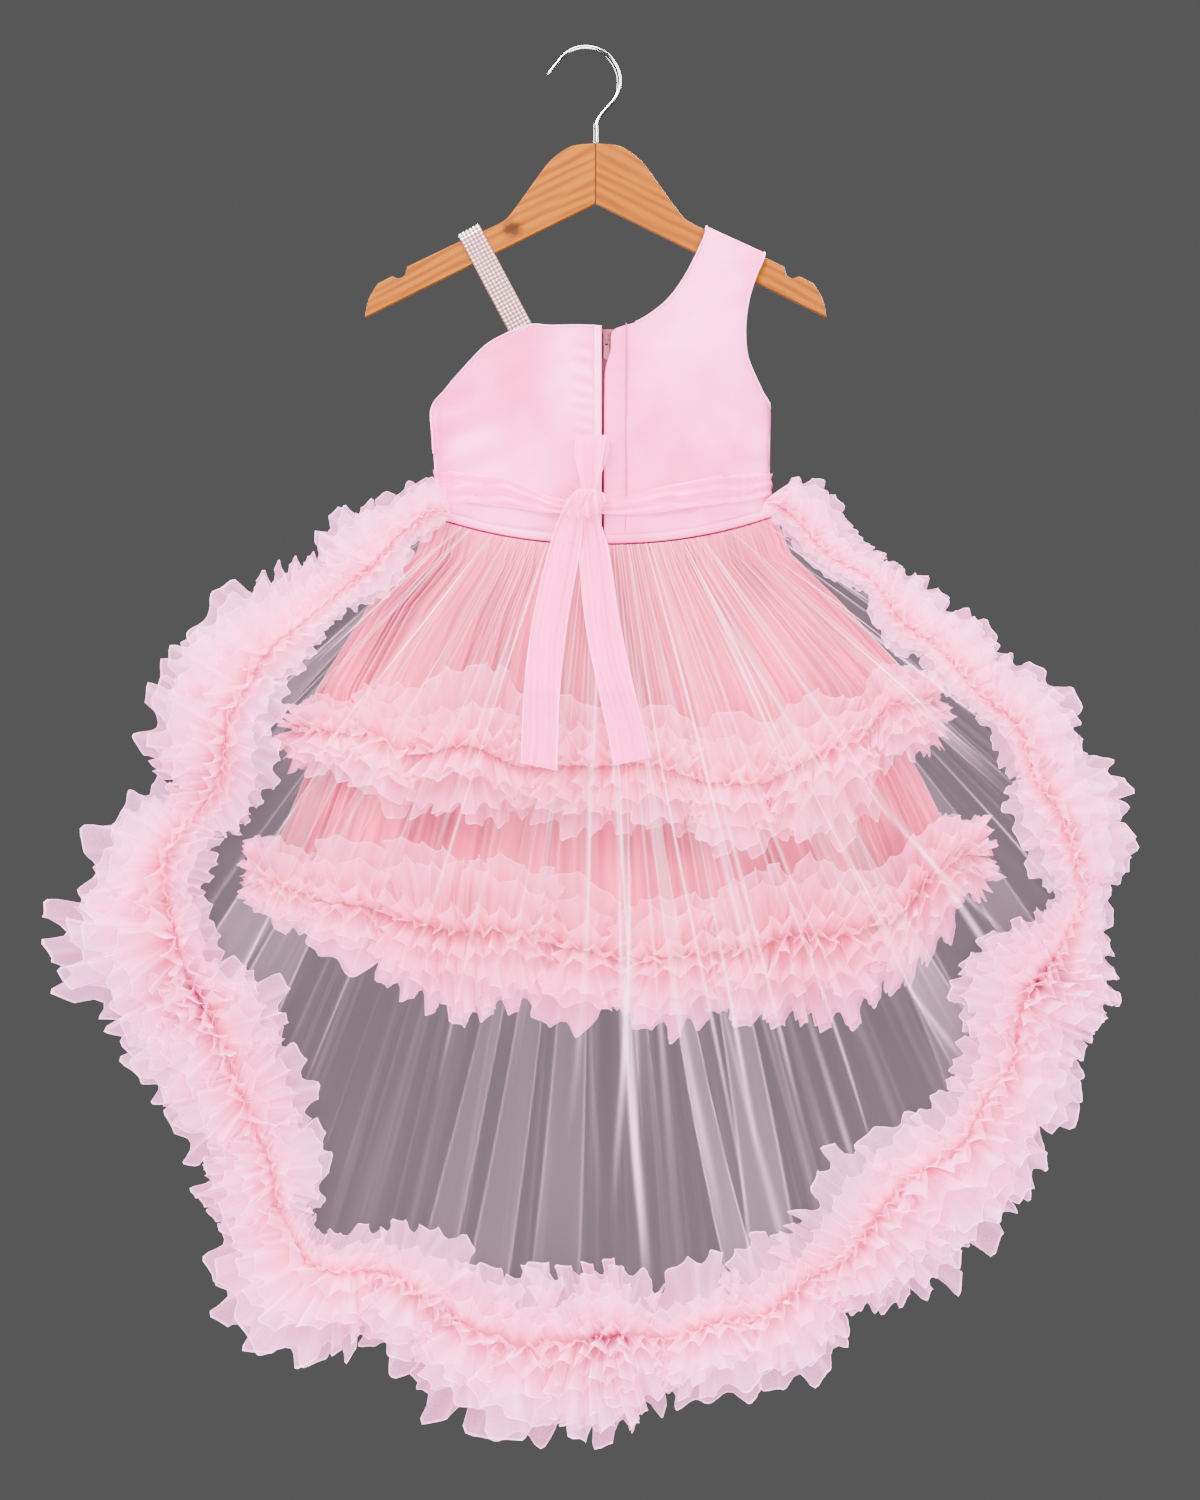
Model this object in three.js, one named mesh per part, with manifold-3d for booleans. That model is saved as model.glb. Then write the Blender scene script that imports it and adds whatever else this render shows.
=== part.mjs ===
// A toddler's party dress in pink satin and tulle, seen from its back and hung on a wooden hanger:
// a one-shoulder bodice with a stone strap and a zip, a tied sash, two ruffled skirt tiers and
// a sheer train with a ruffled trim. Millimetres, +Z up, and -Y is the back of the dress.
// The origin is the top of the hook's inside, where a rail carries it.
import * as THREE from "three";
import { mergeVertices } from "three/addons/utils/BufferGeometryUtils.js";
import Module from "manifold-3d";

const wasm = await Module();
wasm.setup();

// Driving dimensions
const CLOTH = 1.6; // wall of satin, tulle and net
const SEAM = 0.4; // clearance between sewn pieces
const PITCH = CLOTH + SEAM; // from one layer's middle to the next one's
const WAIST = { centre: 11.5, halfWidth: 130.5, low: -385, rise: 22, seam: 2, bandTop: 6, bandFoot: -0.6 };
const HANGER = { centre: 6, thickness: 12, bevel: 1.6, joint: 0.4 };
const HOOK = { wire: 1.9, radius: 25.5, widen: 1.6, centreX: -1, centreZ: -25.2 };
const HOOK_TURN = { from: 146, to: -42, steps: 9 };
const HOOK_TIP = { x: -31.5, z: -19.5 };
// Wire from the hook's turn down into the wood
const HOOK_NECK = [
  { x: 10.6, z: -50.5 },
  { x: 6.6, z: -57.5 },
  { x: 6.2, z: -64 },
  { x: 6.2, z: -73.2 },
];
const STRAP = { width: 18.5, thickness: 2.4, level: 0.75 };
const STRAP_FOOT = new THREE.Vector3(-52.7, 0, -217.2);
const STRAP_HEAD = new THREE.Vector3(-92.4, 0, -142.6);
const STRAP_ACROSS = new THREE.Vector3(0.874, 0, 0.486);
const ZIP = { x: 14.5, top: -219, bottom: -378, tapeWidth: 22, tapeWall: 1, slider: -226 };
const SLIDER = { width: 5, length: 9, plate: 1.8, bridge: 1.4, pull: 0.9, pullOut: 1.5, pullUp: 0.6 };
const BRIDGE = { half: 4.4, foot: -0.6, top: 3.6, eyeHalf: 3.2, eyeFoot: 0.5, eyeTop: 2.5 };
const TAB = { half: 2.1, top: 0.5, shoulder: -7, end: -15, endRadius: 2.3 };
const TAB_SLOT = { half: 1.2, top: -0.5, foot: -6.3 };
const TRIM = { waves: 48, perWave: 4, segments: 12, gap: 0.0003, depth: 13, stand: 1.5, lie: 3.4, turn: 0.013 };
const TRIM_END = { span: 0.04, least: 0.25, lift: 5 }; // how the waves ease at the waist
const RUFFLE_ROWS = [-1, 0, 0.55, 1]; // rows across a ruffle: inner edge, stitching, middle, outer edge
const TIER = { flare: 14, perWave: 4, gap: 0.0008, blend: 120 };
const NET = { folds: 16, perFold: 4, rows: 8, foldDepth: 4.5, layers: 2.3, fall: 25, centre: 26 };
const LAYER = 2.4; // each skirt layer's step out from the one under it at the waist

// How deep and how wide the flattened body is at each height
const BODY = [
  { z: -400, depth: 12.6, halfWidth: 129.6 },
  { z: -280, depth: 12.6, halfWidth: 129.8 },
  { z: -235, depth: 11.8, halfWidth: 150 },
  { z: -185, depth: 8.8, halfWidth: 176 },
  { z: -135, depth: 8.6, halfWidth: 190 },
];

// Sections of the bodice from waist to top: outer edge (side seam, armhole), inner edge (zip, neck),
// sag of the row's middle, and fold, which closes the shoulder over the hanger
const PANEL_LEFT = [
  { outX: -118.5, outZ: -363, inX: 10.4, inZ: -384.6, sag: -5, fold: 1 },
  { outX: -119.5, outZ: -332, inX: 10.4, inZ: -345, sag: -2, fold: 1 },
  { outX: -121, outZ: -305, inX: 10.4, inZ: -305, sag: 0, fold: 1 },
  { outX: -121.8, outZ: -280, inX: 10.4, inZ: -272, sag: 0, fold: 1 },
  { outX: -111, outZ: -266, inX: 10.4, inZ: -252, sag: 0, fold: 1 },
  { outX: -99.8, outZ: -253, inX: 10.4, inZ: -238, sag: 0, fold: 1 },
  { outX: -79.5, outZ: -232, inX: 10.4, inZ: -225, sag: 1.5, fold: 1 },
  { outX: -62, outZ: -222, inX: 10.4, inZ: -217, sag: 3, fold: 1 },
];
const PANEL_RIGHT = [
  { outX: 141.2, outZ: -363, inX: 12.6, inZ: -384.6, sag: -5, fold: 1 },
  { outX: 141.6, outZ: -332, inX: 12.6, inZ: -345, sag: -2, fold: 1 },
  { outX: 142, outZ: -305, inX: 12.8, inZ: -305, sag: 0, fold: 1 },
  { outX: 142, outZ: -280, inX: 13, inZ: -270, sag: 0, fold: 1 },
  { outX: 135.5, outZ: -267, inX: 13.8, inZ: -250, sag: 0, fold: 1 },
  { outX: 128, outZ: -251, inX: 17.6, inZ: -236, sag: 0, fold: 1 },
  { outX: 124, outZ: -240, inX: 20, inZ: -220, sag: 0, fold: 1 },
  { outX: 122.5, outZ: -228, inX: 40.6, inZ: -212, sag: 0, fold: 1 },
  { outX: 122.7, outZ: -212, inX: 60, inZ: -198, sag: 0, fold: 1 },
  { outX: 125.5, outZ: -194, inX: 73.3, inZ: -181.4, sag: 0, fold: 1 },
  { outX: 131, outZ: -177, inX: 83.5, inZ: -163, sag: 0, fold: 1 },
  { outX: 136.5, outZ: -164.5, inX: 91.2, inZ: -145.5, sag: 0, fold: 1 },
  { outX: 137.3, outZ: -159.6, inX: 92.2, inZ: -139.2, sag: 0, fold: 0.72 },
  { outX: 137.5, outZ: -158.6, inX: 92.4, inZ: -138.2, sag: 0, fold: 0.02 },
];
const FRONT_NECK_DROP = 9; // how much lower the neck is on the front
const NECK = { low: -300, high: -215, shoulder: -190, top: -140 }; // heights between which the neck drops

// Top edge of one hanger arm, by distance from the middle
const ARM_TOP = [
  { out: 0, z: -73.7 },
  { out: 12, z: -74.6 },
  { out: 21.5, z: -77 },
  { out: 35.5, z: -87.4 },
  { out: 50, z: -106.5 },
  { out: 62, z: -123.2 },
  { out: 71.4, z: -133.8 },
  { out: 88.5, z: -142.4 },
  { out: 105, z: -149.8 },
  { out: 146.7, z: -169.7 },
  { out: 148.6, z: -176.4 },
  { out: 153.2, z: -179 },
  { out: 158.7, z: -177.2 },
  { out: 169.7, z: -182.9 },
  { out: 176.7, z: -194.6 },
  { out: 180, z: -209.2 },
];
const ARM_FORK = -120.5; // underside at the middle

// Skirt tiers: middle, half width and half depth of the wall at each height, and gather depth there
const LOWER_WALL = [
  { z: -360, centre: 11.5, half: 130.4, depth: 12.6, gather: 0 },
  { z: -390, centre: 12, half: 136, depth: 13, gather: 0.4 },
  { z: -430, centre: 14, half: 164, depth: 15, gather: 2 },
  { z: -566, centre: 22, half: 240, depth: 21, gather: 3.6 },
  { z: -750, centre: 29, half: 322, depth: 24, gather: 3 },
];
const UPPER_WALL = [
  { z: -360, centre: 11.5, half: 133, depth: 15, gather: 0 },
  { z: -390, centre: 12, half: 143.5, depth: 17.6, gather: 0.4 },
  { z: -430, centre: 14, half: 181, depth: 27, gather: 2.4 },
  { z: -500, centre: 24, half: 234, depth: 36, gather: 3.2 },
  { z: -590, centre: 33, half: 266, depth: 41, gather: 2.4 },
];
const LOWER_TIER = { name: "lower", wall: LOWER_WALL, gathers: 10, waves: 14, rows: 5, base: 4.4 };
const UPPER_TIER = { name: "upper", wall: UPPER_WALL, gathers: 10, waves: 14, rows: 4, base: 4.4 };
// Ruffle line of each tier across the back: its height, and the reach of the ruffle above and below
const LOWER_HEM = [
  { q: -1, z: -652, up: 22, down: 26 },
  { q: -0.72, z: -664, up: 38, down: 38 },
  { q: -0.4, z: -692, up: 46, down: 56 },
  { q: 0, z: -712, up: 34, down: 46 },
  { q: 0.35, z: -708, up: 44, down: 56 },
  { q: 0.72, z: -676, up: 44, down: 56 },
  { q: 1, z: -634, up: 24, down: 30 },
];
const UPPER_HEM = [
  { q: -1, z: -528, up: 16, down: 26 },
  { q: -0.7, z: -548, up: 36, down: 48 },
  { q: -0.3, z: -556, up: 46, down: 48 },
  { q: 0.05, z: -566, up: 34, down: 44 },
  { q: 0.4, z: -572, up: 34, down: 44 },
  { q: 0.72, z: -536, up: 32, down: 60 },
  { q: 1, z: -510, up: 14, down: 26 },
];

// Stitching line of the train's trim from the left waist round to the right one:
// place, and how far the ruffle reaches outwards and inwards
const TRIM_LINE = [
  { x: -131, z: -367, out: 20, in: 7 },
  { x: -147, z: -379, out: 30, in: 16 },
  { x: -186, z: -414, out: 40, in: 22 },
  { x: -225, z: -447, out: 40, in: 24 },
  { x: -254, z: -476, out: 46, in: 24 },
  { x: -283, z: -543, out: 54, in: 32 },
  { x: -293, z: -578, out: 42, in: 38 },
  { x: -314, z: -609, out: 42, in: 36 },
  { x: -324, z: -644, out: 52, in: 28 },
  { x: -318, z: -683, out: 80, in: 28 },
  { x: -310, z: -726, out: 58, in: 36 },
  { x: -291, z: -765, out: 52, in: 48 },
  { x: -264, z: -812, out: 48, in: 42 },
  { x: -243, z: -858, out: 38, in: 40 },
  { x: -236, z: -909, out: 58, in: 26 },
  { x: -222, z: -938, out: 64, in: 20 },
  { x: -195, z: -946, out: 56, in: 26 },
  { x: -160, z: -954, out: 46, in: 36 },
  { x: -120, z: -976, out: 48, in: 44 },
  { x: -84, z: -998, out: 54, in: 46 },
  { x: -38, z: -1010, out: 62, in: 48 },
  { x: 37, z: -1001, out: 52, in: 38 },
  { x: 103, z: -994, out: 46, in: 36 },
  { x: 136, z: -985, out: 50, in: 38 },
  { x: 193, z: -946, out: 42, in: 36 },
  { x: 239, z: -896, out: 62, in: 40 },
  { x: 267, z: -870, out: 58, in: 36 },
  { x: 314, z: -815, out: 48, in: 30 },
  { x: 332, z: -762, out: 44, in: 42 },
  { x: 350, z: -720, out: 48, in: 42 },
  { x: 380, z: -670, out: 20, in: 18 },
  { x: 376, z: -636, out: 34, in: 26 },
  { x: 362, z: -601, out: 42, in: 30 },
  { x: 335, z: -535, out: 36, in: 18 },
  { x: 302, z: -496, out: 32, in: 16 },
  { x: 228, z: -425, out: 28, in: 16 },
  { x: 158, z: -361, out: 28, in: 8 },
];

// How far back the net's middle hangs over the tiers, and its depth at the sides as a share of that
const NET_DEPTH = [
  { z: -360, half: 140, depth: 17, side: 0.1 },
  { z: -384, half: 150, depth: 21, side: 0.15 },
  { z: -430, half: 200, depth: 50, side: 0.4 },
  { z: -500, half: 300, depth: 86, side: 0.6 },
  { z: -560, half: 330, depth: 90, side: 0.58 },
  { z: -720, half: 350, depth: 84, side: 0.62 },
  { z: -820, half: 330, depth: 68, side: 0.75 },
  { z: -920, half: 300, depth: 54, side: 0.94 },
  { z: -1015, half: 280, depth: 50, side: 1 },
];

// Sash: height of each band's edges across the back, then the hanging tails
const SASH_LEFT = [
  { x: -119.6, top: -328, bottom: -352 },
  { x: -62, top: -336, bottom: -357 },
  { x: -33, top: -349, bottom: -362 },
  { x: -10, top: -354, bottom: -362 },
];
const SASH_RIGHT = [
  { x: 5, top: -353, bottom: -362 },
  { x: 25, top: -350, bottom: -364 },
  { x: 51, top: -343.5, bottom: -362 },
  { x: 100, top: -334, bottom: -356 },
  { x: 142.4, top: -331, bottom: -348 },
];
const SASH_FRONT = [
  { x: -119.6, top: -328, bottom: -352 },
  { x: 11.5, top: -335, bottom: -360 },
  { x: 142.4, top: -331, bottom: -352 },
];
const SASH = { ease: 1, leftEnd: 0.435, rightEnd: 0.481 };
const KNOT = { x: -3, y: -24.6, z: -356, halfWidth: 13, halfDepth: 7, halfHeight: 15 };
const TAIL_LEFT = [
  { x: -12, z: -371.6, width: 20 },
  { x: -24, z: -400, width: 28 },
  { x: -34, z: -476, width: 28 },
  { x: -38, z: -554, width: 27 },
];
const TAIL_RIGHT = [
  { x: -2, z: -371.6, width: 20 },
  { x: -1, z: -400, width: 28 },
  { x: 14, z: -500, width: 26 },
  { x: 34, z: -558, width: 27 },
];
const TAIL_EASE = 1.2; // how far the tails stand off the net's highest folds
const LOOP = { x: 0, height: 50, depth: 5, top: 19, foot: 9, open: 0.355 * Math.PI, seat: 0.3 };

// Colours
const FINISH = {
  satin: { color: 0xf6cfe0, roughness: 0.45 },
  tulle: { color: 0xf8b9cb, roughness: 0.8 },
  ruffle: { color: 0xfbd3e0, roughness: 0.85 },
  net: { color: 0xf6cbd8, roughness: 0.85 },
  stones: { color: 0xd9cfd2, roughness: 0.2, metalness: 0.6 },
  wood: { color: 0xcf8a4c, roughness: 0.5 },
  chrome: { color: 0xd8dade, roughness: 0.15, metalness: 1 },
  zip: { color: 0xb9a3ab, roughness: 0.35, metalness: 0.8 },
};

const dress = new THREE.Group();

function add(name, geometry, finish) {
  const mesh = new THREE.Mesh(geometry, new THREE.MeshStandardMaterial(FINISH[finish]));
  mesh.name = name;
  dress.add(mesh);
  return mesh;
}

// Value of a table's column at a place given in another column, rows in rising or falling order
function along(rows, key, at, column) {
  const rising = rows[rows.length - 1][key] > rows[0][key];
  let i = 0;
  while (i < rows.length - 2 && (rising ? at > rows[i + 1][key] : at < rows[i + 1][key])) i += 1;
  const share = (at - rows[i][key]) / (rows[i + 1][key] - rows[i][key]);
  return THREE.MathUtils.lerp(rows[i][column], rows[i + 1][column], THREE.MathUtils.clamp(share, 0, 1));
}

// Value of a table's column at a share of its rows, rounded through the rows
function through(rows, share, column) {
  const at = THREE.MathUtils.clamp(share, 0, 1) * (rows.length - 1);
  const i = Math.min(Math.floor(at), rows.length - 2);
  const value = (k) => rows[THREE.MathUtils.clamp(k, 0, rows.length - 1)][column];
  const t = at - i;
  const slope = (k) => (value(k + 1) - value(k - 1)) / 2;
  const rise = value(i + 1) - value(i);
  const bend = 3 * rise - 2 * slope(i) - slope(i + 1);
  const twist = slope(i) + slope(i + 1) - 2 * rise;
  return value(i) + t * (slope(i) + t * (bend + t * twist));
}

const SHARPEST_MITRE = 0.5; // least cosine between a corner's direction and its faces' that widens the wall

// A closed shell from a grid of points, thickened on both sides along its own faces' mitres
function clothWall(pointAt, columns, rows, wall = CLOTH) {
  const across = columns + 1;
  const middle = [];
  for (let j = 0; j <= rows; j += 1) {
    for (let i = 0; i <= columns; i += 1) middle.push(pointAt(i / columns, j / rows));
  }
  const at = (i, j) => j * across + i;
  const faces = [];
  for (let j = 0; j < rows; j += 1) {
    for (let i = 0; i < columns; i += 1) {
      faces.push([at(i, j), at(i + 1, j), at(i + 1, j + 1)]);
      faces.push([at(i, j), at(i + 1, j + 1), at(i, j + 1)]);
    }
  }
  const normals = faces.map(([a, b, c]) => {
    const edge = middle[b].clone().sub(middle[a]);
    return edge.cross(middle[c].clone().sub(middle[a])).normalize();
  });
  const sum = middle.map(() => new THREE.Vector3());
  faces.forEach((face, f) => face.forEach((v) => sum[v].add(normals[f])));
  sum.forEach((n) => n.normalize());
  const least = middle.map(() => 1);
  faces.forEach((face, f) => {
    face.forEach((v) => {
      least[v] = Math.min(least[v], sum[v].dot(normals[f]));
    });
  });
  const reach = (v) => wall / 2 / Math.max(least[v], SHARPEST_MITRE);
  const offset = (v, side) => middle[v].clone().addScaledVector(sum[v], side * reach(v));
  const points = [...middle.map((_, v) => offset(v, 1)), ...middle.map((_, v) => offset(v, -1))];
  const under = middle.length;
  const triangles = faces.flatMap(([a, b, c]) => [[a, b, c], [a + under, c + under, b + under]]);
  const rim = [];
  for (let i = 0; i < columns; i += 1) {
    rim.push([at(i, 0), at(i + 1, 0)], [at(i + 1, rows), at(i, rows)]);
  }
  for (let j = 0; j < rows; j += 1) {
    rim.push([at(0, j + 1), at(0, j)], [at(columns, j), at(columns, j + 1)]);
  }
  rim.forEach(([a, b]) => triangles.push([b, a, a + under], [b, a + under, b + under]));
  return closed(points, triangles);
}

// A geometry from points and triangles, turned so that its faces point out
function closed(points, triangles) {
  const wedge = ([a, b, c]) => points[a].dot(points[b].clone().cross(points[c]));
  const volume = triangles.reduce((total, triangle) => total + wedge(triangle), 0);
  const outward = volume > 0 ? triangles : triangles.map(([a, b, c]) => [a, c, b]);
  const geometry = new THREE.BufferGeometry().setFromPoints(points);
  geometry.setIndex(outward.flat());
  geometry.computeVertexNormals();
  return geometry;
}

// The same geometry with its shared corners merged
function welded(geometry) {
  const bare = geometry.clone();
  bare.deleteAttribute("normal");
  bare.deleteAttribute("uv");
  return mergeVertices(bare, 1e-4);
}

function toSolid(geometry) {
  return new wasm.Manifold(
    new wasm.Mesh({
      numProp: 3,
      vertProperties: new Float32Array(geometry.attributes.position.array),
      triVerts: new Uint32Array(geometry.index.array),
    }),
  );
}

function toGeometry(solid) {
  const mesh = solid.getMesh();
  const geometry = new THREE.BufferGeometry();
  geometry.setAttribute("position", new THREE.BufferAttribute(mesh.vertProperties.slice(), 3));
  geometry.setIndex(new THREE.BufferAttribute(mesh.triVerts.slice(), 1));
  geometry.computeVertexNormals();
  return geometry;
}

// Shared forms: the flattened section, the waist line and the body's back face
const SECTION_POWER = 2.6;
const SIDE_GAP = 0.95; // half the clearance where a front wall's edge meets a back wall's
const SEWN_TOP = 1; // half the distance between the two walls where the shoulder closes

function lens(q) {
  return (1 - Math.min(Math.abs(q), 1) ** SECTION_POWER) ** (1 / SECTION_POWER);
}

function waistZ(q) {
  return WAIST.low + WAIST.rise * Math.abs(q) ** 2.2;
}

function bodyDepth(x, z) {
  const q = (x - WAIST.centre) / along(BODY, "z", z, "halfWidth");
  return SIDE_GAP + along(BODY, "z", z, "depth") * lens(q);
}

// Bodice: side is -1 for the back and 1 for the front
function panelPoint(rows, side, drop) {
  return (u, v) => {
    const row = (column) => {
      const at = v * (rows.length - 1);
      const i = Math.min(Math.floor(at), rows.length - 2);
      return THREE.MathUtils.lerp(rows[i][column], rows[i + 1][column], at - i);
    };
    const x = THREE.MathUtils.lerp(row("outX"), row("inX"), u);
    const straight = THREE.MathUtils.lerp(row("outZ"), row("inZ"), u) + row("sag") * 4 * u * (1 - u);
    const below = THREE.MathUtils.smoothstep(row("inZ"), NECK.low, NECK.high);
    const neck = below * (1 - THREE.MathUtils.smoothstep(row("inZ"), NECK.shoulder, NECK.top));
    const z = v === 0 ? waistZ((x - WAIST.centre) / WAIST.halfWidth) : straight - drop * neck * u;
    return new THREE.Vector3(x, side * (bodyDepth(x, z) * row("fold") + SEWN_TOP * (1 - row("fold"))), z);
  };
}

function buildBodice() {
  const columns = 7;
  const overlap = 0.9; // how far the front's two halves run past the middle, where they join
  const besideZip = 30; // the inner edge is at the zip where its x is less than this
  const panel = (rows, side, drop) => clothWall(panelPoint(rows, side, drop), columns, rows.length - 1);
  add("bodice_back_left", panel(PANEL_LEFT, -1, 0), "satin");
  add("bodice_back_right", panel(PANEL_RIGHT, -1, 0), "satin");
  const meet = (rows, x) => rows.map((row) => (row.inX < besideZip ? { ...row, inX: x } : row));
  const left = panel(meet(PANEL_LEFT, WAIST.centre + overlap), 1, FRONT_NECK_DROP);
  const right = panel(meet(PANEL_RIGHT, WAIST.centre - overlap), 1, FRONT_NECK_DROP);
  add("bodice_front", toGeometry(toSolid(left).add(toSolid(right))), "satin");
}

const ACROSS = new THREE.Vector3(1, 0, 0);

// A strip that follows a line of places, each with a direction across it and a width
function strip(places, wall, columns = 2) {
  const rows = places.length - 1;
  return clothWall(
    (u, v) => {
      const place = places[Math.round(v * rows)];
      return place.at.clone().addScaledVector(place.across, (u - 0.5) * place.width);
    },
    columns,
    rows,
    wall,
  );
}

// The stone strap climbs from the bodice to the hanger, folds over the arm and comes down the front
function buildStrap() {
  const outside = HANGER.thickness / 2 + SEAM + STRAP.thickness / 2;
  const sewn = bodyDepth(STRAP_FOOT.x, STRAP_FOOT.z) + SEAM;
  const climb = [0.035, 0.25, 0.5, 0.75, 0.93].map((share) => ({
    share,
    y: THREE.MathUtils.lerp(sewn, outside + SEAM, Math.min(1, share / STRAP.level)),
  }));
  const turn = [{ share: 0.985, y: outside - 1 }, { share: 1.012, y: outside * 0.5 }];
  const front = [...climb, ...turn];
  const back = front.map(({ share, y }) => ({ share, y: -y }));
  const over = [...back, { share: 1.018, y: 0 }, ...front.reverse()];
  const places = over.map(({ share, y }) => ({
    at: STRAP_FOOT.clone().lerp(STRAP_HEAD, share).setY(y),
    across: STRAP_ACROSS,
    width: STRAP.width,
  }));
  add("strap_stones", strip(places, STRAP.thickness), "stones");
}

// Zip: tape behind the slit, slider with its bridge, and a pull that hangs from the bridge
function buildZip() {
  const behind = (z) => bodyDepth(ZIP.x, z) - CLOTH / 2 - 1.3 * SEAM - ZIP.tapeWall / 2;
  const places = [0, 0.12, 0.25, 0.4, 0.7, 1].map((share) => {
    const z = THREE.MathUtils.lerp(ZIP.top, ZIP.bottom, share);
    return { at: new THREE.Vector3(ZIP.x, -behind(z), z), across: ACROSS, width: ZIP.tapeWidth };
  });
  add("zip_tape", strip(places, ZIP.tapeWall), "satin");

  const face = behind(ZIP.slider) + ZIP.tapeWall / 2 + 1.6 * SEAM;
  const plate = new THREE.BoxGeometry(SLIDER.width, SLIDER.plate, SLIDER.length);
  plate.translate(ZIP.x, -face - SLIDER.plate / 2, ZIP.slider);
  const arch = new THREE.Shape();
  arch.moveTo(-BRIDGE.half, BRIDGE.foot).lineTo(BRIDGE.half, BRIDGE.foot);
  arch.lineTo(BRIDGE.half, BRIDGE.top).lineTo(-BRIDGE.half, BRIDGE.top).closePath();
  const eye = new THREE.Path();
  eye.moveTo(-BRIDGE.eyeHalf, BRIDGE.eyeFoot).lineTo(-BRIDGE.eyeHalf, BRIDGE.eyeTop);
  eye.lineTo(BRIDGE.eyeHalf, BRIDGE.eyeTop).lineTo(BRIDGE.eyeHalf, BRIDGE.eyeFoot).closePath();
  arch.holes.push(eye);
  const bridge = new THREE.ExtrudeGeometry(arch, { depth: SLIDER.bridge, bevelEnabled: false });
  bridge.translate(0, 0, -SLIDER.bridge / 2);
  const upright = new THREE.Matrix4().makeBasis(
    new THREE.Vector3(0, 0, 1),
    new THREE.Vector3(0, -1, 0),
    new THREE.Vector3(1, 0, 0),
  );
  bridge.applyMatrix4(upright).translate(ZIP.x, -face - SLIDER.plate, ZIP.slider);
  add("zip_slider", toGeometry(toSolid(welded(plate)).add(toSolid(welded(bridge)))), "zip");

  const tab = new THREE.Shape();
  tab.moveTo(-TAB.half, TAB.top).lineTo(TAB.half, TAB.top);
  tab.lineTo(TAB.half, TAB.shoulder).lineTo(TAB.endRadius, TAB.end);
  tab.absarc(0, TAB.end, TAB.endRadius, 0, -Math.PI, true).lineTo(-TAB.half, TAB.shoulder).closePath();
  const slot = new THREE.Path();
  slot.moveTo(-TAB_SLOT.half, TAB_SLOT.top).lineTo(-TAB_SLOT.half, TAB_SLOT.foot);
  slot.lineTo(TAB_SLOT.half, TAB_SLOT.foot).lineTo(TAB_SLOT.half, TAB_SLOT.top).closePath();
  tab.holes.push(slot);
  const pullForm = { depth: SLIDER.pull, bevelEnabled: false, curveSegments: 6 };
  const pull = new THREE.ExtrudeGeometry(tab, pullForm);
  pull.translate(0, 0, -SLIDER.pull / 2).rotateX(Math.PI / 2);
  pull.translate(ZIP.x, -face - SLIDER.plate - SLIDER.pullOut, ZIP.slider + SLIDER.pullUp);
  add("zip_pull", pull, "zip");
}

// Hanger: two wooden arms that meet in the middle, and the wire hook
function buildHanger() {
  const arm = (side) => {
    const outline = new THREE.Shape();
    const inset = HANGER.joint / 2;
    const x = (out) => side * Math.max(out, inset);
    outline.moveTo(x(0), ARM_FORK);
    ARM_TOP.forEach(({ out, z }) => outline.lineTo(x(out), z));
    outline.closePath();
    const body = new THREE.ExtrudeGeometry(outline, {
      depth: HANGER.thickness - 2 * HANGER.bevel,
      bevelEnabled: true,
      bevelThickness: HANGER.bevel,
      bevelSize: HANGER.bevel,
      bevelOffset: -HANGER.bevel,
      bevelSegments: 1,
    });
    body.translate(0, 0, HANGER.bevel - HANGER.thickness / 2).rotateX(Math.PI / 2);
    return body.translate(HANGER.centre, 0, 0);
  };
  add("hanger_arm_left", arm(-1), "wood");
  add("hanger_arm_right", arm(1), "wood");

  const places = [new THREE.Vector3(HOOK_TIP.x, 0, HOOK_TIP.z)];
  for (let i = 0; i <= HOOK_TURN.steps; i += 1) {
    const angle = THREE.MathUtils.degToRad(THREE.MathUtils.lerp(HOOK_TURN.from, HOOK_TURN.to, i / HOOK_TURN.steps));
    const reach = HOOK.radius + HOOK.widen * Math.max(0, Math.sin(angle) - 0.6 * Math.cos(angle));
    const x = HOOK.centreX + reach * Math.cos(angle);
    places.push(new THREE.Vector3(x, 0, HOOK.centreZ + reach * Math.sin(angle)));
  }
  HOOK_NECK.forEach(({ x, z }) => places.push(new THREE.Vector3(x, 0, z)));
  const wire = new THREE.Shape().absarc(0, 0, HOOK.wire, 0, 2 * Math.PI, false);
  const path = new THREE.CatmullRomCurve3(places);
  const wireForm = { steps: 34, curveSegments: 4, extrudePath: path };
  add("hanger_hook", new THREE.ExtrudeGeometry(wire, wireForm), "chrome");
}

// Place across a flattened ring, -1 to 1, for a share of the way round it: closer steps at its sides
function ringShare(share) {
  return 0.55 * (2 * share - 1) + 0.45 * Math.sin(Math.PI * (share - 0.5));
}

// A point on the flattened ring at a share of the way across, pushed out along its normal
function ringPoint(share, side, centre, half, depth, push) {
  const q = ringShare(share);
  const rise = lens(q);
  const slopeX = (Math.sign(q) * Math.abs(q) ** (SECTION_POWER - 1)) / half;
  const slopeY = rise ** (SECTION_POWER - 1) / depth;
  const size = Math.hypot(slopeX, slopeY) || 1;
  return {
    q,
    x: centre + half * q + (push * slopeX) / size,
    y: side * (SIDE_GAP + depth * rise + (push * slopeY) / size),
  };
}

// Column of a tier's wall table at a place across and a height, counted from the curved waist line
function wallAt(tier, q, z, column) {
  const top = waistZ(q);
  const near = THREE.MathUtils.clamp(1 - (top - z) / TIER.blend, 0, 1);
  return along(tier.wall, "z", z + (tier.wall[0].z - top) * near, column);
}

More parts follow.
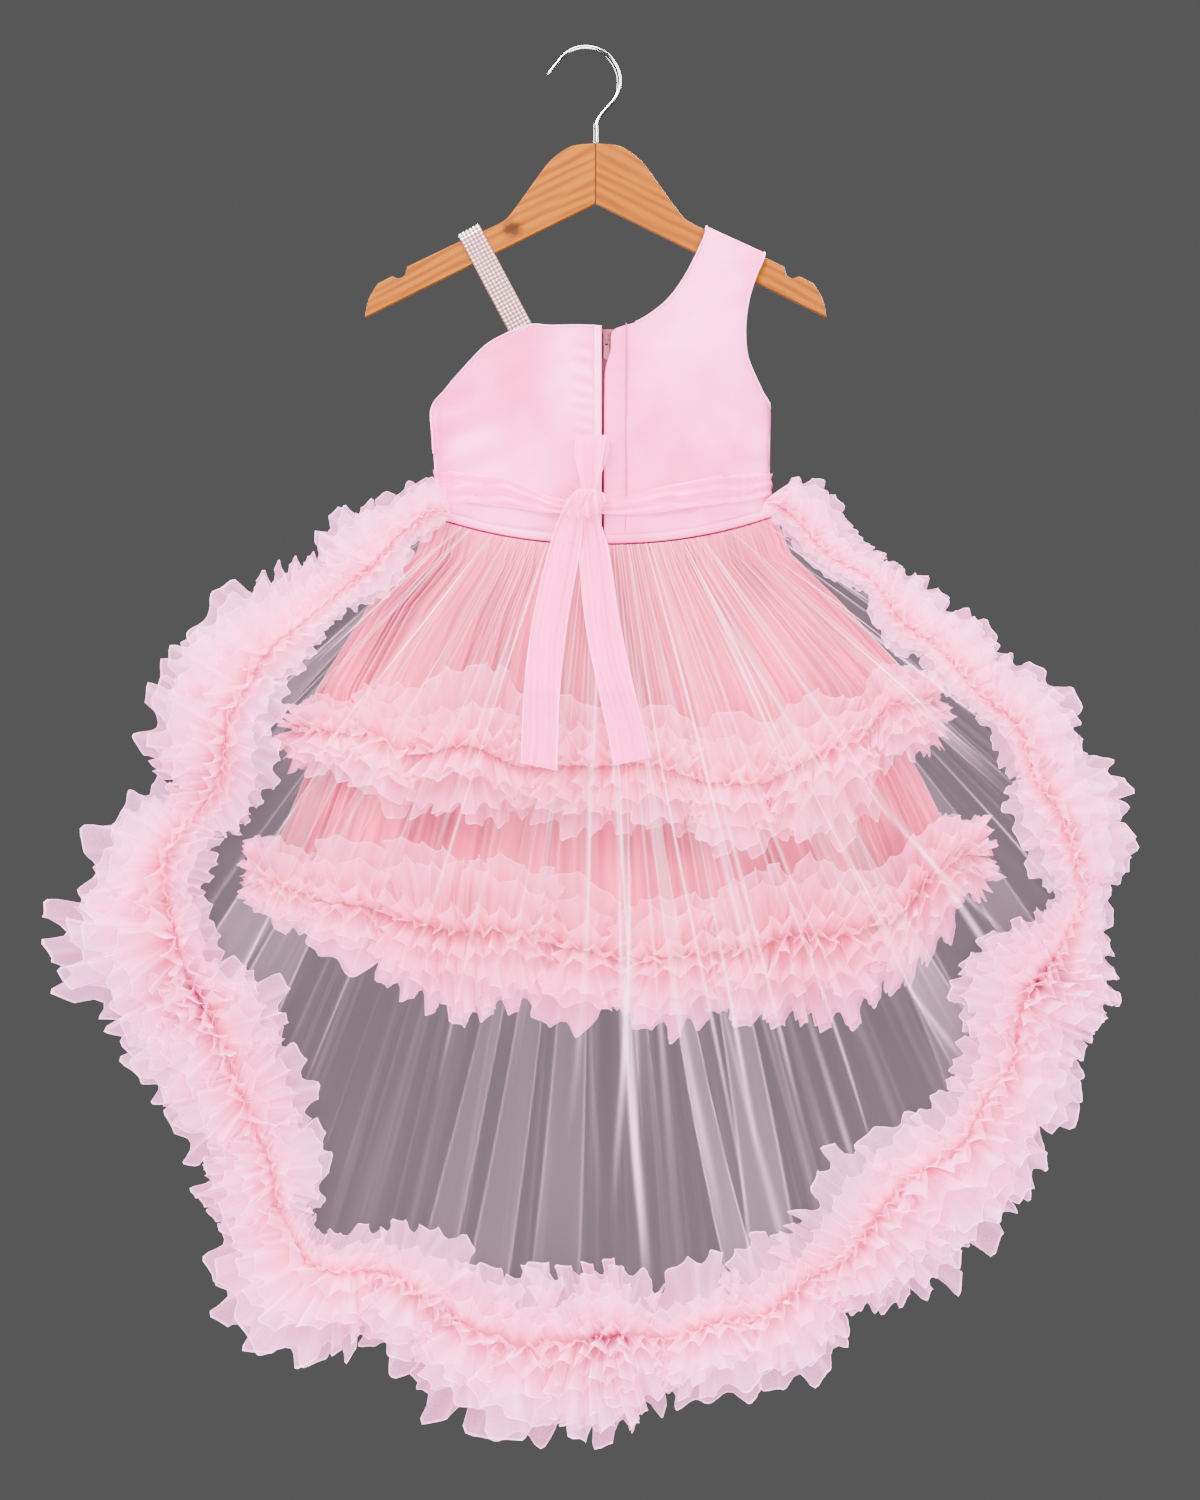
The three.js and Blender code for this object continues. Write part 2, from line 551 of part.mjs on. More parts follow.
function tierPoint(tier, hem, side) {
  return (u, v) => {
    const q = ringShare(u);
    const z = THREE.MathUtils.lerp(waistZ(q) - WAIST.seam, along(hem, "q", q, "z"), v ** 1.25);
    const wall = (column) => wallAt(tier, q, z, column);
    const gather = Math.sin(2 * Math.PI * tier.gathers * u) * wall("gather");
    const place = ringPoint(u, side, wall("centre"), wall("half"), wall("depth"), gather);
    return new THREE.Vector3(place.x, place.y, z);
  };
}

function rufflePoint(tier, hem, side, from, to) {
  return (u, v) => {
    const share = THREE.MathUtils.lerp(from, to, u);
    const w = RUFFLE_ROWS[Math.round(v * (RUFFLE_ROWS.length - 1))];
    const q = ringShare(share);
    const z = along(hem, "q", q, "z");
    const wall = (column) => wallAt(tier, q, z, column);
    const phase = 2 * Math.PI * tier.waves * share + (w < 0 ? 0 : 0.5);
    const flare = TIER.flare * Math.abs(w) * (1 + Math.sin(phase));
    const push = tier.base + PITCH + flare;
    const place = ringPoint(share, side, wall("centre"), wall("half"), wall("depth"), push);
    return new THREE.Vector3(place.x, place.y, z - w * along(hem, "q", q, w < 0 ? "up" : "down"));
  };
}

function buildTier(tier, hem) {
  const columns = tier.gathers * 4;
  [{ word: "back", side: -1 }, { word: "front", side: 1 }].forEach(({ word, side }) => {
    add(`skirt_${tier.name}_${word}`, clothWall(tierPoint(tier, hem, side), columns, tier.rows), "tulle");
    const halves = [
      { hand: "left", from: TIER.gap, to: 0.5 - TIER.gap },
      { hand: "right", from: 0.5 + TIER.gap, to: 1 - TIER.gap },
    ];
    halves.forEach(({ hand, from, to }) => {
      const ruffle = rufflePoint(tier, hem, side, from, to);
      const wall = clothWall(ruffle, (tier.waves / 2) * TIER.perWave, RUFFLE_ROWS.length - 1);
      add(`ruffle_${tier.name}_${word}_${hand}`, wall, "ruffle");
    });
  });
}

// Train: how far back the net hangs at a place, its fan of folds, and the trim along its edge
function netDepth(x, z) {
  const middle = THREE.MathUtils.lerp(WAIST.centre, NET.centre, THREE.MathUtils.smoothstep(-z, 360, 500));
  const q = Math.min(1, Math.abs(x - middle) / along(NET_DEPTH, "z", z, "half"));
  const near = 1 - THREE.MathUtils.smoothstep(-z, 384, 440);
  const round = THREE.MathUtils.lerp(1 - THREE.MathUtils.smoothstep(q, 0.4, 1), lens(q), near);
  const side = along(NET_DEPTH, "z", z, "side");
  return along(NET_DEPTH, "z", z, "depth") * (side + (1 - side) * round);
}

const trimCurve = new THREE.CatmullRomCurve3(
  TRIM_LINE.map(({ x, z }) => new THREE.Vector3(x, 0, z)),
  false,
  "catmullrom",
  0.5,
);
trimCurve.arcLengthDivisions = 1200;

function netPoint(u, v) {
  const share = 0.004 + 0.992 * u;
  const edge = trimCurve.getPointAt(share);
  const out = NET.layers * LAYER;
  const top = ringPoint(share, -1, WAIST.centre, WAIST.halfWidth + out, BODY[0].depth + out, 0);
  const x = THREE.MathUtils.lerp(top.x, edge.x, v);
  const z = THREE.MathUtils.lerp(waistZ(ringShare(share)) - WAIST.seam, edge.z, v);
  const length = Math.hypot(edge.x - top.x, edge.z + 370);
  const swell = Math.sin(Math.PI * Math.min(1, v / 0.88)) ** 0.8 * Math.min(1, length / 260);
  const fold = NET.foldDepth * swell * Math.sin(2 * Math.PI * NET.folds * share);
  const fall = THREE.MathUtils.smoothstep(v * length, 0, NET.fall);
  return new THREE.Vector3(x, THREE.MathUtils.lerp(top.y, -netDepth(x, z), fall) + fold, z);
}

// The trim stands off the net's back: its inner side lies over the net and its outer side waves freely
function trimPoint(from, to) {
  return (u, v) => {
    const share = THREE.MathUtils.lerp(from, to, u);
    const w = RUFFLE_ROWS[Math.round(v * (RUFFLE_ROWS.length - 1))];
    const spine = trimCurve.getPointAt(share);
    const ahead = trimCurve.getPointAt(Math.min(1, share + TRIM.turn));
    const tangent = ahead.sub(trimCurve.getPointAt(Math.max(0, share - TRIM.turn))).normalize();
    const row = trimCurve.getUtoTmapping(share);
    const phase = 2 * Math.PI * TRIM.waves * share;
    const ends = THREE.MathUtils.clamp(Math.min(share, 1 - share) / TRIM_END.span, TRIM_END.least, 1);
    const wave = w < 0 ? -w * (1 + Math.sin(phase)) : w * Math.sin(phase);
    const width = w * through(TRIM_LINE, row, w < 0 ? "in" : "out");
    const x = spine.x + tangent.z * width;
    const z = spine.z - tangent.x * width;
    const lift = TRIM.stand + (w < 0 ? TRIM.lie : 0) + TRIM_END.lift * (1 - ends);
    const rest = w < 0 ? netDepth(x, z) : netDepth(spine.x, spine.z);
    return new THREE.Vector3(x, -rest - PITCH - lift - TRIM.depth * ends * wave, z);
  };
}

function buildTrain() {
  add("train_net", clothWall(netPoint, NET.folds * NET.perFold, NET.rows), "net");
  const columns = (TRIM.waves / TRIM.segments) * TRIM.perWave;
  for (let i = 0; i < TRIM.segments; i += 1) {
    const length = trimPoint(i / TRIM.segments + TRIM.gap, (i + 1) / TRIM.segments - TRIM.gap);
    const wall = clothWall(length, columns, RUFFLE_ROWS.length - 1);
    add(`train_trim_${String(i + 1).padStart(2, "0")}`, wall, "ruffle");
  }
}

// Waist band over the gathers, and the sash with its knot, loop and tails
function waistBandPoint(side) {
  return (u, v) => {
    const place = ringPoint(u, side, WAIST.centre, WAIST.halfWidth + LAYER, BODY[0].depth + LAYER, 0);
    const height = THREE.MathUtils.lerp(WAIST.bandTop, WAIST.bandFoot, v);
    return new THREE.Vector3(place.x, place.y, waistZ(ringShare(u)) + height);
  };
}

// A sash band on the bodice between two shares of the way across
function sashPoint(rows, side, from, to) {
  const out = PITCH + SASH.ease;
  return (u, v) => {
    const share = THREE.MathUtils.lerp(from, to, u);
    const place = ringPoint(share, side, WAIST.centre, WAIST.halfWidth + out, BODY[0].depth + out, 0);
    const top = along(rows, "x", place.x, "top");
    const bottom = along(rows, "x", place.x, "bottom");
    return new THREE.Vector3(place.x, place.y, THREE.MathUtils.lerp(top, bottom, v));
  };
}

function tailPlaces(rows, layer) {
  const pieces = 8;
  const clear = BODY[0].depth + 3.2 * LAYER + PITCH;
  return Array.from({ length: pieces + 1 }, (_, i) => {
    const z = THREE.MathUtils.lerp(rows[0].z, rows[rows.length - 1].z, i / pieces);
    const x = along(rows, "z", z, "x");
    const rest = netDepth(x, z) + NET.foldDepth;
    const y = -Math.max(rest, clear) - (layer - 1) * PITCH * 1.4 - TAIL_EASE;
    return { at: new THREE.Vector3(x, y, z), across: ACROSS, width: along(rows, "z", z, "width") };
  });
}

function buildSash() {
  [{ word: "back", side: -1 }, { word: "front", side: 1 }].forEach(({ word, side }) => {
    add(`waist_band_${word}`, clothWall(waistBandPoint(side), 20, 1), "satin");
  });
  add("sash_back_left", clothWall(sashPoint(SASH_LEFT, -1, 0, SASH.leftEnd), 12, 2), "tulle");
  add("sash_back_right", clothWall(sashPoint(SASH_RIGHT, -1, SASH.rightEnd, 1), 12, 2), "tulle");
  add("sash_front", clothWall(sashPoint(SASH_FRONT, 1, 0, 1), 26, 2), "tulle");
  const knot = new THREE.SphereGeometry(1, 12, 8);
  knot.scale(KNOT.halfWidth, KNOT.halfDepth, KNOT.halfHeight).translate(KNOT.x, KNOT.y, KNOT.z);
  add("sash_knot", knot, "tulle");
  add("sash_tail_left", strip(tailPlaces(TAIL_LEFT, 1), CLOTH), "tulle");
  add("sash_tail_right", strip(tailPlaces(TAIL_RIGHT, 2), CLOTH), "tulle");
  const turns = 10;
  const foot = KNOT.z + KNOT.halfHeight + LOOP.seat - (LOOP.height * (1 - Math.sin(LOOP.open))) / 2;
  const loop = Array.from({ length: turns + 1 }, (_, i) => {
    const angle = THREE.MathUtils.lerp(-LOOP.open, Math.PI + LOOP.open, i / turns);
    const rise = 0.5 + 0.5 * Math.sin(angle);
    return {
      at: new THREE.Vector3(LOOP.x, KNOT.y - (LOOP.depth / 2) * Math.cos(angle), foot + LOOP.height * rise),
      across: ACROSS,
      width: THREE.MathUtils.lerp(LOOP.foot, LOOP.top, rise),
    };
  });
  add("sash_loop", strip(loop, CLOTH), "tulle");
}

buildHanger();
buildBodice();
buildStrap();
buildZip();
buildTier(LOWER_TIER, LOWER_HEM);
buildTier(UPPER_TIER, UPPER_HEM);
buildTrain();
buildSash();

export default dress;
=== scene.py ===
"""A toddler's party dress in pink satin and tulle, hung on a wooden hanger and seen from its back.

Everything is in metres, +Z up. -Y is out of the dress's back, and the origin is the top of the
inside of the hanger's hook.
"""

import sys
import logging
import math
from dataclasses import dataclass, replace
from enum import Enum
from typing import Any, Callable, NamedTuple

import bpy
import numpy as np
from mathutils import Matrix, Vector


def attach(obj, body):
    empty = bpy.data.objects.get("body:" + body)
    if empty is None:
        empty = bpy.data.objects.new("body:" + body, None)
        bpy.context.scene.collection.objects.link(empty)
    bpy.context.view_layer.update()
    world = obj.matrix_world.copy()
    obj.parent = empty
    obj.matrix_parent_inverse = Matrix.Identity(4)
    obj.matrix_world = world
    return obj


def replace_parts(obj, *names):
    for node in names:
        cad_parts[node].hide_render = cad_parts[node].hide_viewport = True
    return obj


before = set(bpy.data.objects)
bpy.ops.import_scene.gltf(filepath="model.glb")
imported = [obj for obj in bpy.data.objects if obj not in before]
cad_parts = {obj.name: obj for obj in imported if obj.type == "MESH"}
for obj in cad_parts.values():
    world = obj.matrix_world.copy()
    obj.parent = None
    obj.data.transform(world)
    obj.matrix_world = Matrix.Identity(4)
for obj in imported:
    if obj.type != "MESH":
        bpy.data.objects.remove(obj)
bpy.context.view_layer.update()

DRESS = "dress"
Array = np.ndarray
log = logging.getLogger("dress")

# Shared sizes of the garment, as the solids have them
WAIST_CENTRE, WAIST_HALF, WAIST_DEPTH = 0.0115, 0.1305, 0.0126
WAIST_LOW, WAIST_RISE = -0.385, 0.022
SECTION_POWER = 2.6
SIDE_GAP = 0.00095
LAYER = 0.0024
CLOTH = 0.0012

# How many values wander() keeps before they repeat
WANDER_VALUES = 4096


class BodyRow(NamedTuple):
    """The flattened body at one height."""

    z: float
    depth: float
    half: float


class PanelRow(NamedTuple):
    """A bodice panel at one height: its outer edge, its inner edge, sag of the middle, and fold."""

    out_x: float
    out_z: float
    in_x: float
    in_z: float
    sag: float = 0.0
    fold: float = 1.0


class WallRow(NamedTuple):
    """A skirt wall at one height: its middle, half width, half depth and gather depth."""

    z: float
    centre: float
    half: float
    depth: float


class HemRow(NamedTuple):
    """A tier's ruffle line at a place across: height, and reach of the ruffle up and down."""

    q: float
    z: float
    up: float
    down: float


class TrimRow(NamedTuple):
    """The train's trim line at one place, with the ruffle's reach outwards and inwards."""

    x: float
    z: float
    out: float
    into: float


class NetRow(NamedTuple):
    """How far back the net hangs at one height, and its depth at the sides as a share."""

    z: float
    half: float
    depth: float
    side: float


class BandRow(NamedTuple):
    """A sash band's two edges at one place across."""

    x: float
    top: float
    bottom: float


class TailRow(NamedTuple):
    """A hanging tail's middle and width at one height."""

    x: float
    z: float
    width: float


BODY = (
    BodyRow(-0.400, 0.0126, 0.1296),
    BodyRow(-0.280, 0.0126, 0.1298),
    BodyRow(-0.235, 0.0118, 0.150),
    BodyRow(-0.185, 0.0088, 0.176),
    BodyRow(-0.135, 0.0086, 0.190),
)
PANEL_LEFT = (
    PanelRow(-0.1185, -0.363, 0.0104, -0.3846, -0.005),
    PanelRow(-0.1195, -0.332, 0.0104, -0.345, -0.002),
    PanelRow(-0.121, -0.305, 0.0104, -0.305),
    PanelRow(-0.1218, -0.280, 0.0104, -0.272),
    PanelRow(-0.111, -0.266, 0.0104, -0.252),
    PanelRow(-0.0998, -0.253, 0.0104, -0.238),
    PanelRow(-0.0795, -0.232, 0.0104, -0.225, 0.0015),
    PanelRow(-0.062, -0.222, 0.0104, -0.217, 0.003),
)
PANEL_RIGHT = (
    PanelRow(0.1412, -0.363, 0.0126, -0.3846, -0.005),
    PanelRow(0.1416, -0.332, 0.0126, -0.345, -0.002),
    PanelRow(0.142, -0.305, 0.0128, -0.305),
    PanelRow(0.142, -0.280, 0.013, -0.270),
    PanelRow(0.1355, -0.267, 0.0138, -0.250),
    PanelRow(0.128, -0.251, 0.0176, -0.236),
    PanelRow(0.124, -0.240, 0.020, -0.220),
    PanelRow(0.1225, -0.228, 0.0406, -0.212),
    PanelRow(0.1227, -0.212, 0.060, -0.198),
    PanelRow(0.1255, -0.194, 0.0733, -0.1814),
    PanelRow(0.131, -0.177, 0.0835, -0.163),
    PanelRow(0.1365, -0.1645, 0.0912, -0.1455),
    PanelRow(0.1373, -0.1596, 0.0922, -0.1392, 0, 0.72),
    PanelRow(0.1375, -0.1586, 0.0924, -0.1382, 0, 0.02),
)
LOWER_WALL = (
    WallRow(-0.360, 0.0115, 0.1304, 0.0126),
    WallRow(-0.390, 0.012, 0.136, 0.013),
    WallRow(-0.430, 0.014, 0.164, 0.015),
    WallRow(-0.566, 0.022, 0.240, 0.021),
    WallRow(-0.750, 0.029, 0.322, 0.024),
)
UPPER_WALL = (
    WallRow(-0.360, 0.0115, 0.133, 0.015),
    WallRow(-0.390, 0.012, 0.1435, 0.0176),
    WallRow(-0.430, 0.014, 0.181, 0.027),
    WallRow(-0.500, 0.024, 0.234, 0.036),
    WallRow(-0.590, 0.033, 0.266, 0.041),
)
LOWER_HEM = (
    HemRow(-1, -0.652, 0.022, 0.026),
    HemRow(-0.72, -0.664, 0.038, 0.038),
    HemRow(-0.4, -0.692, 0.046, 0.056),
    HemRow(0, -0.712, 0.034, 0.046),
    HemRow(0.35, -0.708, 0.044, 0.056),
    HemRow(0.72, -0.676, 0.044, 0.056),
    HemRow(1, -0.634, 0.024, 0.030),
)
UPPER_HEM = (
    HemRow(-1, -0.528, 0.016, 0.026),
    HemRow(-0.7, -0.548, 0.036, 0.048),
    HemRow(-0.3, -0.556, 0.046, 0.048),
    HemRow(0.05, -0.566, 0.034, 0.044),
    HemRow(0.4, -0.572, 0.034, 0.044),
    HemRow(0.72, -0.536, 0.032, 0.060),
    HemRow(1, -0.510, 0.014, 0.026),
)
TRIM_LINE = (
    TrimRow(-0.1085, -0.364, 0.016, 0.008),
    TrimRow(-0.119, -0.362, 0.024, 0.010),
    TrimRow(-0.131, -0.367, 0.020, 0.007),
    TrimRow(-0.147, -0.379, 0.030, 0.016),
    TrimRow(-0.186, -0.414, 0.040, 0.022),
    TrimRow(-0.225, -0.447, 0.040, 0.024),
    TrimRow(-0.254, -0.476, 0.046, 0.024),
    TrimRow(-0.283, -0.543, 0.054, 0.032),
    TrimRow(-0.293, -0.578, 0.042, 0.038),
    TrimRow(-0.314, -0.609, 0.042, 0.036),
    TrimRow(-0.324, -0.644, 0.052, 0.028),
    TrimRow(-0.318, -0.683, 0.080, 0.028),
    TrimRow(-0.310, -0.726, 0.058, 0.036),
    TrimRow(-0.291, -0.765, 0.052, 0.048),
    TrimRow(-0.264, -0.812, 0.048, 0.042),
    TrimRow(-0.243, -0.858, 0.038, 0.040),
    TrimRow(-0.236, -0.909, 0.058, 0.026),
    TrimRow(-0.222, -0.938, 0.064, 0.020),
    TrimRow(-0.195, -0.946, 0.056, 0.026),
    TrimRow(-0.160, -0.954, 0.046, 0.036),
    TrimRow(-0.120, -0.976, 0.048, 0.044),
    TrimRow(-0.084, -0.998, 0.054, 0.046),
    TrimRow(-0.038, -1.010, 0.062, 0.048),
    TrimRow(0.037, -1.001, 0.052, 0.038),
    TrimRow(0.103, -0.994, 0.046, 0.036),
    TrimRow(0.136, -0.985, 0.050, 0.038),
    TrimRow(0.193, -0.946, 0.042, 0.036),
    TrimRow(0.239, -0.896, 0.062, 0.040),
    TrimRow(0.267, -0.870, 0.058, 0.036),
    TrimRow(0.314, -0.815, 0.048, 0.030),
    TrimRow(0.332, -0.762, 0.044, 0.042),
    TrimRow(0.350, -0.720, 0.048, 0.042),
    TrimRow(0.380, -0.670, 0.020, 0.018),
    TrimRow(0.376, -0.636, 0.034, 0.026),
    TrimRow(0.362, -0.601, 0.042, 0.030),
    TrimRow(0.335, -0.535, 0.036, 0.018),
    TrimRow(0.302, -0.496, 0.032, 0.016),
    TrimRow(0.228, -0.425, 0.028, 0.016),
    TrimRow(0.158, -0.361, 0.028, 0.010),
    TrimRow(0.141, -0.349, 0.022, 0.009),
)
NET_DEPTH = (
    NetRow(-0.360, 0.140, 0.017, 0.10),
    NetRow(-0.384, 0.150, 0.021, 0.15),
    NetRow(-0.430, 0.200, 0.050, 0.40),
    NetRow(-0.500, 0.300, 0.086, 0.60),
    NetRow(-0.560, 0.330, 0.090, 0.58),
    NetRow(-0.720, 0.350, 0.084, 0.62),
    NetRow(-0.820, 0.330, 0.068, 0.75),
    NetRow(-0.920, 0.300, 0.054, 0.94),
    NetRow(-1.015, 0.280, 0.050, 1.00),
)


def along(rows: tuple, key: str, at: Array, column: str) -> Array:
    """Reads a table's column at places given in another one.

    Args:
        rows: The table.
        key: The column that the places are in.
        at: The places.
        column: The column to read.

    Returns:
        The values, straight between rows.
    """
    keys = np.array([getattr(row, key) for row in rows], float)
    values = np.array([getattr(row, column) for row in rows], float)
    order = np.argsort(keys)
    return np.interp(at, keys[order], values[order])


def smooth_rows(values: Array, share: Array) -> Array:
    """Reads rows of values at shares from 0 to 1, on a curve through the rows.

    Args:
        values: One row for each knot.
        share: Places from 0 to 1.

    Returns:
        One row of values for each place.
    """
    at = np.clip(share, 0, 1) * (len(values) - 1)
    i = np.minimum(at.astype(int), len(values) - 2)
    t = (at - i)[..., None]
    last = len(values) - 1
    p0, p1 = values[np.maximum(i - 1, 0)], values[i]
    p2, p3 = values[i + 1], values[np.minimum(i + 2, last)]
    bend = 3 * (p2 - p1) - (p2 - p0) - (p3 - p1) / 2
    twist = (p2 - p0) / 2 + (p3 - p1) / 2 - 2 * (p2 - p1)
    return p1 + t * ((p2 - p0) / 2 + t * (bend + t * twist))


def smoothstep(low: float, high: float, at: Array) -> Array:
    """A soft step from 0 at low to 1 at high."""
    t = np.clip((at - low) / (high - low), 0, 1)
    return t * t * (3 - 2 * t)


def ease(values: Array, start: Array | float, room: float) -> Array:
    """Values that, once past start, only creep towards start + room."""
    over = np.maximum(values - start, 0)
    return np.minimum(values, start) + room * (1 - np.exp(-over / room))


def wander(at: Array, step: float, seed: int) -> Array:
    """Smooth values from -1 to 1 that turn about once in each step of the way.

    Args:
        at: Places along the way.
        step: Distance over which the value changes.
        seed: Which of the ways to wander.

    Returns:
        One value for each place.
    """
    table = np.random.default_rng(seed).uniform(-1, 1, WANDER_VALUES)
    i = np.floor(at / step).astype(int)
    t = at / step - i
    t = t * t * (3 - 2 * t)
    return table[i % WANDER_VALUES] * (1 - t) + table[(i + 1) % WANDER_VALUES] * t


def crumple(x: Array, z: Array, step: float, seed: int) -> Array:
    """Smooth values from about -1 to 1 over a surface."""
    turn = np.random.default_rng(seed).uniform(0, 2 * math.pi, (5, 2))
    total = np.zeros(np.broadcast(x, z).shape)
    for k, (heading, phase) in enumerate(turn):
        along_way = (x * math.cos(heading) + z * math.sin(heading)) / step
        total = total + np.sin(along_way * (1 + 0.37 * k) + phase)
    return total / 3


def lens(q: Array) -> Array:
    """Half depth of the flattened section at a place across, both as shares."""
    return (1 - np.minimum(np.abs(q), 1) ** SECTION_POWER) ** (1 / SECTION_POWER)


def waist_z(q: Array) -> Array:
    """Height of the waist seam at a place across."""
    return WAIST_LOW + WAIST_RISE * np.abs(q) ** 2.2


def body_depth(x: Array, z: Array) -> Array:
    """How far the bodice's wall lies from the middle plane."""
    q = (x - WAIST_CENTRE) / along(BODY, "z", z, "half")
    return SIDE_GAP + along(BODY, "z", z, "depth") * lens(q)


def ring_share(share: Array) -> Array:
    """Place across a ring, -1 to 1, for a share of the way round it."""
    return 0.55 * (2 * share - 1) + 0.45 * np.sin(math.pi * (share - 0.5))


def ring(share: Array, side: int, centre: Array, half: Array, depth: Array) -> tuple[Array, Array]:
    """Points on a flattened ring and the way out of it there.

    Args:
        share: Shares of the way across.
        side: -1 for the dress's back and 1 for its front.
        centre: The ring's middle across.
        half: The ring's half width.
        depth: The ring's half depth.

    Returns:
        Places (x, y) and directions (x, y).
    """
    q = ring_share(share)
    rise = lens(q)
    slope_x = np.sign(q) * np.abs(q) ** (SECTION_POWER - 1) / half
    slope_y = rise ** (SECTION_POWER - 1) / depth
    size = np.maximum(np.hypot(slope_x, slope_y), 1e-9)
    place = np.stack([centre + half * q, side * (SIDE_GAP + depth * rise)], -1)
    return place, np.stack([slope_x / size, side * slope_y / size], -1)


def wall_at(rows: tuple, q: Array, z: Array, column: str) -> Array:
    """A skirt wall's column at a place across and a height, counted from the curved waist."""
    top = waist_z(q)
    near = np.clip(1 - (top - z) / 0.12, 0, 1)
    return along(rows, "z", z - (top + 0.36) * near, column)


def net_depth(x: Array, z: Array) -> Array:
    """How far back the train's net hangs at a place."""
    middle = WAIST_CENTRE + (0.026 - WAIST_CENTRE) * smoothstep(0.36, 0.5, -z)
    q = np.minimum(1, np.abs(x - middle) / along(NET_DEPTH, "z", z, "half"))
    near = 1 - smoothstep(0.384, 0.44, -z)
    rounded = (1 - near) * (1 - smoothstep(0.4, 1, q)) + near * lens(q)
    side = along(NET_DEPTH, "z", z, "side")
    return along(NET_DEPTH, "z", z, "depth") * (side + (1 - side) * rounded)


def unit(vectors: Array) -> Array:
    """The same vectors at length 1."""
    return vectors / np.maximum(np.linalg.norm(vectors, axis=-1, keepdims=True), 1e-12)


def grid_normals(points: Array) -> Array:
    """Normals of a grid of points, one for each point."""
    down = np.gradient(points, axis=0)
    across = np.gradient(points, axis=1)
    return unit(np.cross(across, down))


def faced(points: Array, side: int, row: int, column: int) -> tuple[Array, Array]:
    """Turns a grid so that it faces the dress's back or its front.

    Args:
        points: The grid.
        side: -1 for the back and 1 for the front.
        row: Row of the place that is tested.
        column: Column of the place that is tested.

    Returns:
        The grid and its normals.
    """
    out = grid_normals(points)
    if out[row, column, 1] * side < 0:
        points = points[:, ::-1]
        out = grid_normals(points)
    return points, out


